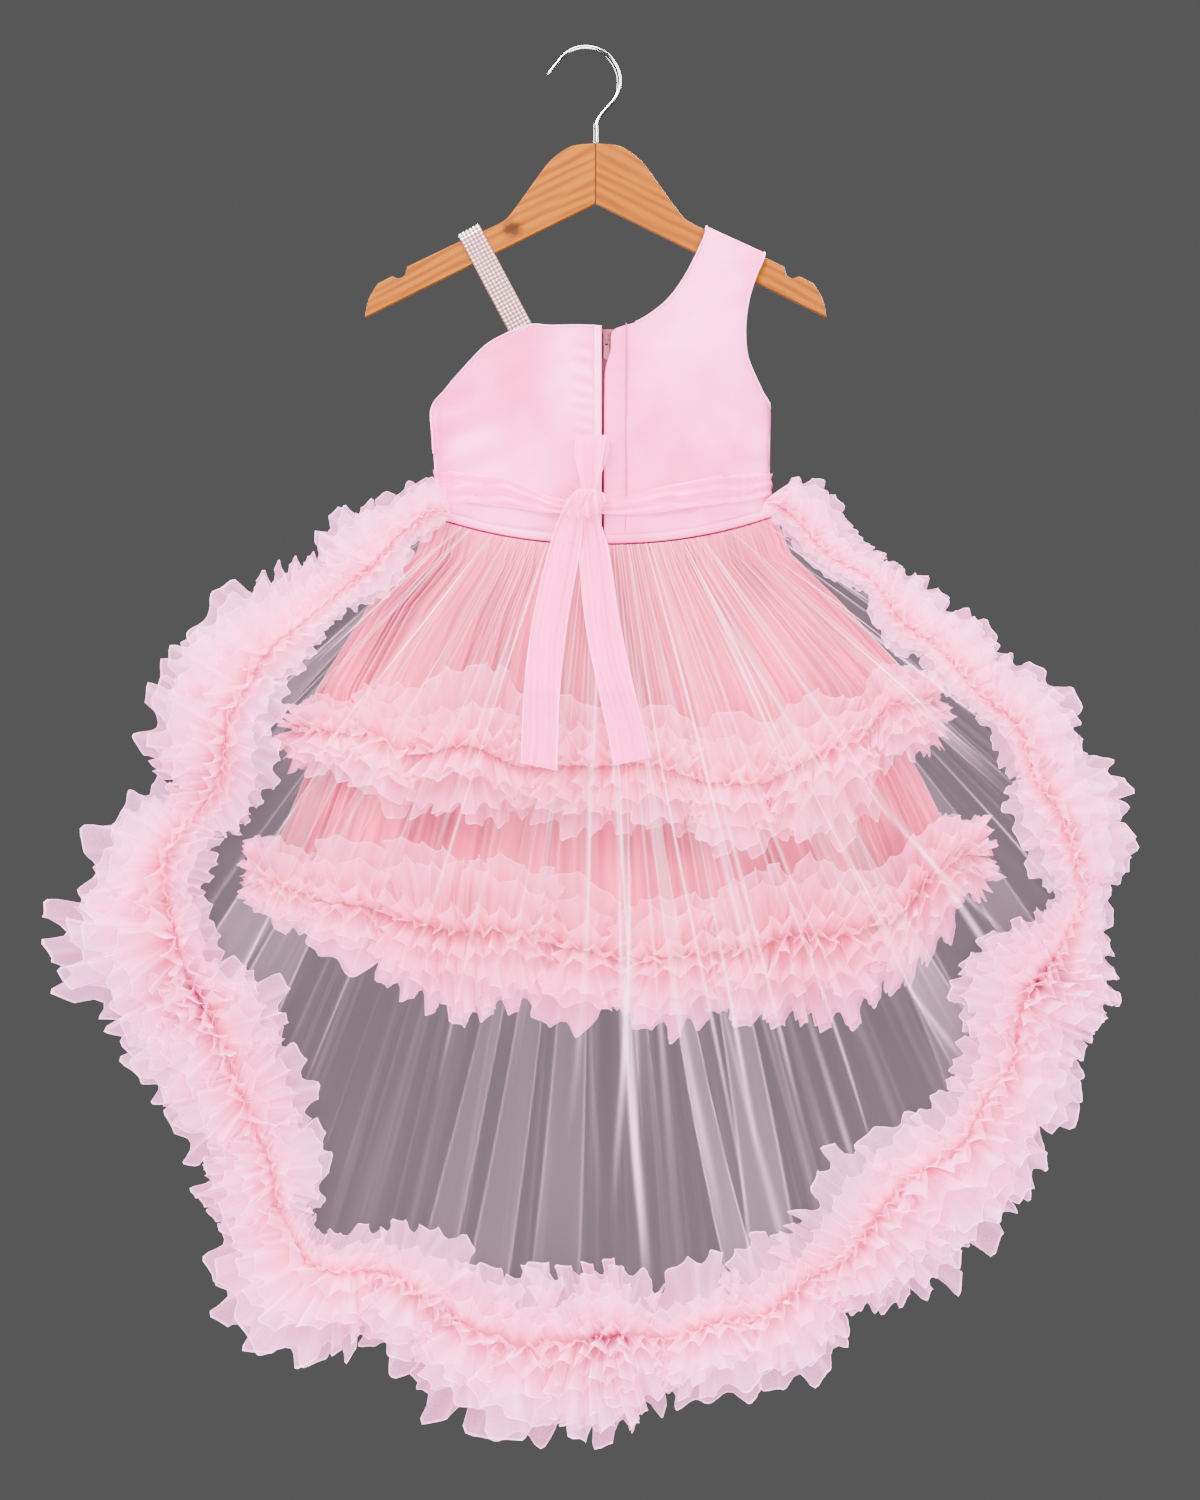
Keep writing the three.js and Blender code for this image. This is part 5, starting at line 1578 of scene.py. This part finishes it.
@dataclass
class Train:
    """The sheer net from the waist, and the ruffled trim round its edge."""

    columns: int = 1400
    rows: int = 56
    parts: int = 4
    stand: float = 0.003
    trim_places: int = 1600
    trim_nodes: int = 12
    overlap: int = 14

    def line(self, count: int) -> tuple[Array, Array]:
        """The trim line, evenly spaced.

        Args:
            count: How many places.

        Returns:
            Places (x, z, out, into), and tangents (x, z), smoothed over some 50 mm.
        """
        knots = np.array([tuple(row) for row in TRIM_LINE])
        dense = smooth_rows(knots, np.linspace(0, 1, 3000))
        at = np.concatenate([[0], np.cumsum(np.linalg.norm(np.diff(dense[:, :2], axis=0), axis=-1))])
        even = np.linspace(0, at[-1], count)
        read = np.stack([np.interp(even, at, dense[:, k]) for k in range(4)], -1)
        turn = 0.013 * at[-1]
        ahead = np.stack([np.interp(even + turn, at, dense[:, k]) for k in range(2)], -1)
        behind = np.stack([np.interp(even - turn, at, dense[:, k]) for k in range(2)], -1)
        return read, unit(ahead - behind)

    def net(self) -> None:
        """Makes the net, with its folds fanning from the waist."""
        edge, _ = self.line(self.columns)
        share = np.linspace(0, 1, self.columns)[None, :]
        v = np.linspace(0, 1, self.rows)[:, None]
        out = 2.3 * LAYER
        half, depth = WAIST_HALF + out, WAIST_DEPTH + out
        top, _ = ring(share[0] * 0.996 + 0.002, -1, WAIST_CENTRE, half, depth)
        x = top[None, :, 0] * (1 - v) + edge[None, :, 0] * v
        z = (waist_z(ring_share(share)) - 0.002) * (1 - v) + edge[None, :, 1] * v
        length = np.hypot(edge[:, 0] - top[:, 0], edge[:, 1] + 0.37)[None, :]
        swell = np.sin(math.pi * np.minimum(1, v / 0.92)) ** 0.8 * np.minimum(1, length / 0.26)
        broad = np.sin(2 * math.pi * 16 * share + 1.3 * wander(share, 0.05, 3))
        fine_wave = np.sin(2 * math.pi * 74 * share + 3 * wander(share, 0.02, 4) + 1.2 * wander(v, 0.3, 5))
        early = np.exp(-v * 5.0)
        push = 0.004 * swell * broad + 0.0011 * fine_wave * (0.35 + early)
        fall = smoothstep(0, 0.025, v * length)
        y = top[None, :, 1] * (1 - fall) - net_depth(x, z) * fall + push
        folds = self.fold_marks(share, v)
        rim = (v > 0.992) * 1.0 + 0 * share
        tone = 0.5 + 0.5 * wander(share, 0.04, 6) + 0 * v
        points = np.stack([x, y, z], -1)
        cloth = Cloth("sheer_net")
        cloth.grid(points, edge=rim, tone=tone, fold=folds)
        piece = cloth.build(Finish.NET.made(), "net")
        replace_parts(piece, "train_net")

    @staticmethod
    def fold_marks(share: Array, v: Array) -> Array:
        """How doubled the net is at each place: soft gathers at the waist and long folds below, made denser and painted
        paler as sheen.

        Args:
            share: Places along the trim line, from 0 to 1.
            v: Places from the waist to the trim, from 0 to 1.

        Returns:
            Marks from 0 to 1.
        """
        rng = np.random.default_rng(41)
        total = 0.0 * (share + v)
        for _ in range(120):
            drift = 0.016 * np.sin(v * rng.uniform(1, 5) + rng.uniform(0, 6)) * rng.uniform(0, 1) ** 2
            middle = rng.uniform(0.02, 0.98) + drift
            wide = rng.uniform(0.0009, 0.0022)
            start, stop = rng.uniform(-0.15, 0.3), rng.uniform(0.3, 1.15)
            swell = 1 + 0.45 * np.sin(v * rng.uniform(3, 9) + rng.uniform(0, 6))
            near = np.exp(-(((share - middle) / (wide * swell)) ** 2))
            reach = smoothstep(start - 0.1, start, v) * (1 - smoothstep(stop - 0.25, stop, v))
            reach = reach * (0.62 + 0.38 * np.sin(v * rng.uniform(3, 8) + rng.uniform(0, 6)))
            total = total + near * reach * rng.uniform(0.18, 0.85)
        for _ in range(24):
            middle = rng.uniform(0.06, 0.94) + 0.012 * np.sin(v * rng.uniform(1, 3) + rng.uniform(0, 6))
            wide = rng.uniform(0.004, 0.012) * (0.6 + 0.6 * v)
            away = np.abs(share - middle) / wide
            band = smoothstep(0, 0.2, 1 - away) * 0.26 + np.exp(-(((away - 0.93) / 0.06) ** 2)) * 0.55
            stop = rng.uniform(0.5, 1.4)
            reach = smoothstep(0.02, 0.2, v) * (1 - smoothstep(stop - 0.3, stop, v))
            total = total + band * reach * rng.uniform(0.5, 1)
        gather = 0.5 + 0.5 * np.sin(2 * math.pi * 150 * share + 4 * wander(share, 0.013, 8))
        total = total + gather**3 * 0.8 * np.exp(-v * 6.5)
        return np.clip(total, 0, 1)

    def trim(self) -> None:
        """Makes the trim in lengths, each of several layers outwards, inwards and upright."""
        read, tangent = self.line(self.trim_places)
        x, z, reach_out, reach_in = read.T
        y = -net_depth(x, z) - self.stand
        out = np.stack([tangent[:, 1], 0 * x, -tangent[:, 0]], -1)
        twist = 0.006 * wander(np.linspace(0, 1, len(x)), 0.021, 77) - 0.001
        points = np.stack([x, y, z], -1) + out * twist[:, None]
        normal = np.tile([0.0, -1.0, 0.0], (len(x), 1))
        outer_layers = (
            Fringe(-30, 0.86, 0.0145, 0.1, 100, -4),
            Fringe(-2, 1.14, 0.0155, 0.08, 110, 6),
            Fringe(12, 1.06, 0.0138, 0.095, 120, 8),
            Fringe(28, 0.95, 0.0132, 0.11, 130, 8),
            Fringe(48, 0.8, 0.0125, 0.13, 140, 4),
            Fringe(72, 0.62, 0.012, 0.16, 150, 0),
        )
        inner_layers = (
            Fringe(8, 1.24, 0.014, 0.09, 160, 8),
            Fringe(30, 1.05, 0.013, 0.115, 170, 10),
            Fringe(56, 0.82, 0.012, 0.14, 180, 4),
            Fringe(80, 0.6, 0.0115, 0.17, 190, 0),
        )
        nodes = [f"train_trim_{k + 1:02d}" for k in range(self.trim_nodes)]
        size = self.trim_nodes // self.parts
        span = len(x) // self.parts

        def keep(grid: Array) -> Array:
            """Keeps the inner petals off the net's back."""
            net = net_depth(grid[..., 0], grid[..., 2])
            grid[..., 1] = ease(grid[..., 1], -net - 0.009, 0.007)
            return grid

        for part in range(self.parts):
            cut = slice(max(0, part * span - self.overlap), min(len(x), (part + 1) * span + self.overlap))
            shift = part * 1000
            cloth = Cloth(f"trim_length_{part + 1}")
            outward = Ruffle(points[cut], out[cut], normal[cut], reach_out[cut] * 1.05 + 0.002)
            inward = Ruffle(points[cut], -out[cut], normal[cut], np.maximum(reach_in[cut] * 1.08, 0.014))
            for fringe in outer_layers:
                outward.layer(cloth, fringe.other(shift))
            for fringe in inner_layers:
                inward.layer(cloth, fringe.other(shift), keep)
            piece = cloth.build(Finish.RUFFLE.made(), "ruffle_tulle")
            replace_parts(piece, *nodes[part * size : (part + 1) * size])

    def build(self) -> None:
        """Makes the train."""
        self.net()
        self.trim()


@dataclass
class Sash:
    """The waist band and the tulle sash: bands, knot, upright loop and two tails."""

    band_top: float = 0.006
    band_foot: float = -0.0006
    knot: tuple = (-0.003, -0.0246, -0.3555)
    left: tuple = (
        BandRow(-0.1196, -0.328, -0.352),
        BandRow(-0.062, -0.336, -0.357),
        BandRow(-0.033, -0.349, -0.362),
        BandRow(-0.010, -0.354, -0.362),
    )
    right: tuple = (
        BandRow(0.005, -0.353, -0.362),
        BandRow(0.025, -0.350, -0.364),
        BandRow(0.051, -0.3435, -0.362),
        BandRow(0.100, -0.334, -0.356),
        BandRow(0.1424, -0.331, -0.348),
    )
    front: tuple = (
        BandRow(-0.1196, -0.328, -0.352),
        BandRow(0.0115, -0.335, -0.360),
        BandRow(0.1424, -0.331, -0.352),
    )
    tail_left: tuple = (
        TailRow(-0.0035, -0.344, 0.0125),
        TailRow(-0.0115, -0.362, 0.017),
        TailRow(-0.018, -0.392, 0.024),
        TailRow(-0.029, -0.450, 0.0265),
        TailRow(-0.035, -0.505, 0.027),
        TailRow(-0.0385, -0.556, 0.0275),
    )
    tail_right: tuple = (
        TailRow(0.000, -0.362, 0.013),
        TailRow(0.0035, -0.392, 0.023),
        TailRow(0.011, -0.450, 0.0265),
        TailRow(0.022, -0.505, 0.027),
        TailRow(0.0345, -0.558, 0.0275),
    )

    def waist(self) -> None:
        """Makes the narrow satin band over the gathers."""
        for word, side in (("back", -1), ("front", 1)):
            u = np.linspace(0, 1, 241)[None, :]
            v = np.linspace(0, 1, 7)[:, None]
            at, out = ring(u + 0 * v, side, WAIST_CENTRE, WAIST_HALF + LAYER, WAIST_DEPTH + LAYER)
            puff = 0.0009 * np.sin(math.pi * v) + 0.0003 * np.sin(u * 700 + 3 * wander(u, 0.02, 2)) * v
            flat = at + out * puff[..., None]
            z = waist_z(ring_share(u)) + self.band_top + (self.band_foot - self.band_top) * v
            grid = np.stack([flat[..., 0], flat[..., 1], z + 0 * u], -1)
            if side < 0:
                grid = grid[:, ::-1]
            cloth = Cloth(f"satin_band_{word}")
            # Painted shade: the band darkens towards its top and bottom edges
            cloth.shell(grid[:, ::-1], 0.001, edge=np.abs(2 * v - 1) ** 2 + 0 * u)
            piece = cloth.build(Finish.SATIN.made(), "satin")
            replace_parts(piece, f"waist_band_{word}")

    def band(self, name: str, node: str, rows: tuple, side: int, start: float, stop: float, seed: int) -> None:
        """Makes one band of the sash, its tulle laid in long folds.

        Args:
            name: The piece's name.
            node: The solid that it stands for.
            rows: Its table.
            side: -1 for the back and 1 for the front.
            start: Share of the way across where it starts.
            stop: Share where it stops.
            seed: Which folds.
        """
        u = np.linspace(start, stop, 120)[None, :]
        cloth = Cloth(name)
        for layer, (folds, lift) in enumerate(((3.5, 0.0008), (2.2, 0.0022))):
            v = np.linspace(0, 1, 25)[:, None]
            away = 0.0034 + lift
            at, out = ring(u + 0 * v, side, WAIST_CENTRE, WAIST_HALF + away - 0.0042, WAIST_DEPTH + away)
            across = at[..., 0]
            top, bottom = along(rows, "x", across, "top"), along(rows, "x", across, "bottom")
            phase = 2 * math.pi * folds * v + 1.6 * wander(u, 0.05, seed + layer) + layer
            flat = at + out * (0.0008 * np.sin(phase) + 0.0006 * wander(u, 0.015, seed + 4))[..., None]
            z = top + (bottom - top) * (v + 0.03 * np.sin(2 * phase))
            grid = np.stack([flat[..., 0], flat[..., 1], z], -1)
            rim = np.abs(2 * v - 1) ** 10 + 0 * u
            # The fold crests get more cover and a paler painted sheen
            fold = np.clip(0.5 + 0.5 * np.cos(phase), 0, 1) ** 5 * (0.45 + 0.3 * wander(u, 0.03, seed + 6))
            cloth.grid(grid, edge=rim, tone=0.5 + 0.5 * wander(u, 0.04, seed + 2) + 0 * v, fold=fold)
        piece = cloth.build(Finish.SASH.made(), "sash_tulle")
        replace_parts(piece, node)

    def tail(self, name: str, node: str, rows: tuple, layer: int, seed: int) -> None:
        """Makes one hanging tail of doubled tulle.

        Args:
            name: The piece's name.
            node: The solid that it stands for.
            rows: Its table.
            layer: 1 for the tail next to the net and 2 for the one over it.
            seed: Which folds.
        """
        knots = np.array([tuple(row) for row in rows])
        read = smooth_rows(knots, np.linspace(0, 1, 110))
        v = np.linspace(0, 1, 110)[:, None]
        u = np.linspace(-0.5, 0.5, 27)[None, :]
        slant = 0.006 * (u + 0.5) * (1 if layer == 1 else -1) * v**6
        x = read[:, 0:1] + u * read[:, 2:3] + 0.0015 * wander(v, 0.25, seed)
        z = read[:, 1:2] + slant
        rest = np.maximum(net_depth(x, z) + 0.0045, 0.0222)
        away = rest + 0.0012 + (layer - 1) * 0.0028
        phase = 2 * math.pi * 1.5 * u + 2 * wander(v, 0.3, seed + 1)
        wave = 0.0016 * np.sin(phase) * smoothstep(0, 0.25, v) + 0.0007 * np.sin(3 * phase + 5 * v)
        start = -self.knot[1] + (0.0084 if layer == 2 else -0.004)
        y = -np.maximum(start + (away - start) * smoothstep(0.08, 0.3, v), away * smoothstep(0.1, 0.3, v)) - wave
        cloth = Cloth(name)
        # The tail's edges, its crease and its top get more cover and a paler painted sheen
        crease = 0.5 * np.exp(-(((u + 0.22) / 0.03) ** 2))
        fold = np.clip(np.abs(2 * u) ** 9 + crease + (1 - smoothstep(0, 0.2, v)) * 0.5, 0, 1)
        rim = np.maximum(np.abs(2 * u) ** 12, smoothstep(0.985, 1, v)) + 0 * v
        for shift in (0.0, 0.0011):
            grid = np.stack([x + shift * 0.6, y + shift, z], -1)
            cloth.grid(grid, edge=rim, tone=0.5 + 0.4 * wander(v, 0.1, seed + 3) + 0 * u, fold=fold + 0 * v)
        piece = cloth.build(Finish.SASH.made(), "sash_tulle")
        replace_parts(piece, node)

    def tie(self) -> None:
        """Makes the knot as a wrap of folded tulle, and the upright loop."""
        kx, ky, kz = self.knot
        turn = np.linspace(0, 2 * math.pi, 73)[:-1][None, :]
        v = np.linspace(-1, 1, 33)[:, None]
        size = np.sqrt(np.maximum(0, 1 - np.abs(v) ** 2.6))
        ridge = 1 + 0.07 * np.sin(7 * v * 2 + 2.2 * np.sin(turn)) + 0.05 * np.sin(3 * turn + 2)
        x = kx + 0.0165 * v + 0.0015 * np.sin(turn)
        y = ky + 0.0064 * size * ridge * np.cos(turn)
        z = kz + 0.0108 * size * ridge * np.sin(turn) + 0.0015 * v
        grid = np.stack([x + 0 * turn, y, z], -1)
        # The knot's ridges get more cover and a paler painted sheen
        fold = np.clip(0.5 + 0.5 * np.sin(7 * v * 2 + 2.2 * np.sin(turn)), 0, 1) ** 2
        cloth = Cloth("sash_wrap")
        cloth.grid(grid, edge=0.3, fold=fold, closed=True)
        piece = cloth.build(Finish.SASH.made(), "sash_tulle")
        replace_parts(piece, "sash_knot")
        self.loop()

    def loop(self) -> None:
        """Makes the loop that stands up from the knot."""
        kx, ky, kz = self.knot
        angle = np.linspace(-0.42 * math.pi, 1.42 * math.pi, 90)[:, None]
        rise = 0.5 + 0.5 * np.sin(angle)
        foot = kz + 0.008
        u = np.linspace(-0.5, 0.5, 21)[None, :]
        width = 0.011 + 0.012 * smoothstep(0, 0.8, rise)
        x = kx + 0.0035 + u * width + 0.003 * rise - 0.0025 * np.cos(angle) * rise
        y = ky - 0.0042 * np.cos(angle) - 0.0012 * np.cos(2 * math.pi * u * 1.5) * (0.4 + rise)
        z = foot + 0.046 * rise + 0.0005 * np.cos(2 * math.pi * u) * rise
        cloth = Cloth("sash_bow_loop")
        # The loop's edges and one crease get more cover and a paler painted sheen
        fold = np.clip(np.abs(2 * u) ** 8 + 0.4 * np.exp(-(((u - 0.1) / 0.05) ** 2)), 0, 1) + 0 * rise
        cloth.grid(np.stack([x, y, z + 0 * u], -1), edge=np.abs(2 * u) ** 10 + 0 * rise, fold=fold)
        piece = cloth.build(Finish.SASH.made(), "sash_tulle")
        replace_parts(piece, "sash_loop")

    def build(self) -> None:
        """Makes the waist band and the sash."""
        self.waist()
        self.band("band_left", "sash_back_left", self.left, -1, 0.0, 0.45, 21)
        self.band("band_right", "sash_back_right", self.right, -1, 0.465, 1.0, 31)
        self.band("band_front", "sash_front", self.front, 1, 0.0, 1.0, 41)
        self.tail("tail_over", "sash_tail_left", self.tail_left, 2, 51)
        self.tail("tail_under", "sash_tail_right", self.tail_right, 1, 61)
        self.tie()


@dataclass
class Studio:
    """The camera, the soft lights and the pale floor under the hanging dress."""

    middle: tuple = (0.0094, 0.0, -0.5464)
    away: float = 4.875
    lens: float = 150.0
    floor_z: float = -1.25
    floor_radius: float = 0.42
    surround: float = 0.1
    lamps: tuple = (
        ("back_key", (-1.7, -2.6, 1.5), 1.9, 800),
        ("back_fill", (2.1, -2.7, 0.4), 2.6, 400),
        ("back_low", (0.2, -2.6, -2.2), 2.2, 290),
        ("top", (0, -0.4, 2.0), 2.0, 270),
        ("front_key", (1.6, 2.8, 1.0), 2.2, 470),
        ("front_fill", (-2.0, 2.4, -0.4), 2.4, 300),
    )

    def camera(self) -> None:
        """Sets the camera at the photo's viewing angle."""
        data = bpy.data.cameras.new("camera")
        data.lens, data.sensor_fit, data.sensor_height = self.lens, "VERTICAL", 36.0
        camera = bpy.data.objects.new("camera", data)
        camera.location = (self.middle[0], -self.away, self.middle[2])
        camera.rotation_euler = (math.radians(90), 0, 0)
        bpy.context.scene.collection.objects.link(camera)
        bpy.context.scene.camera = camera

    def light(self, name: str, where: tuple, size: float, power: float) -> None:
        """Adds one soft light that faces the dress."""
        data = bpy.data.lights.new(name, "AREA")
        data.shape, data.size, data.energy = "DISK", size, power
        lamp = bpy.data.objects.new(name, data)
        lamp.location = where
        lamp.rotation_euler = (Vector(self.middle) - Vector(where)).to_track_quat("-Z", "Y").to_euler()
        bpy.context.scene.collection.objects.link(lamp)

    def build(self) -> None:
        """Makes the floor, the lights and the plain grey surround."""
        turn = np.linspace(0, 2 * math.pi, 96, endpoint=False)
        rim = [(self.floor_radius * math.cos(a), self.floor_radius * math.sin(a), self.floor_z) for a in turn]
        floor = host_object("floor", rim, [tuple(range(96))])
        floor.data.materials.append(Finish.FLOOR.made())
        for name, where, size, power in self.lamps:
            self.light(name, where, size, power)
        world = bpy.data.worlds.new("surround")
        world.use_nodes = True
        background = world.node_tree.nodes["Background"]
        background.inputs["Color"].default_value = (1, 1, 1, 1)
        background.inputs["Strength"].default_value = self.surround
        bpy.context.scene.world = world


def main() -> None:
    """Builds the dress piece by piece."""
    logging.basicConfig(level=logging.INFO, format="%(name)s: %(message)s", stream=sys.stdout)
    studio = Studio()
    studio.camera()
    Hanger().build()
    Bodice().build()
    Strap().build()
    Zip().build()
    Skirt("lower", LOWER_WALL, LOWER_HEM, 0.0064, 46, 200).build()
    Skirt("upper", UPPER_WALL, UPPER_HEM, 0.0064, 46, 300).build()
    Train().build()
    Sash().build()
    studio.build()


if __name__ == "__main__":
    main()
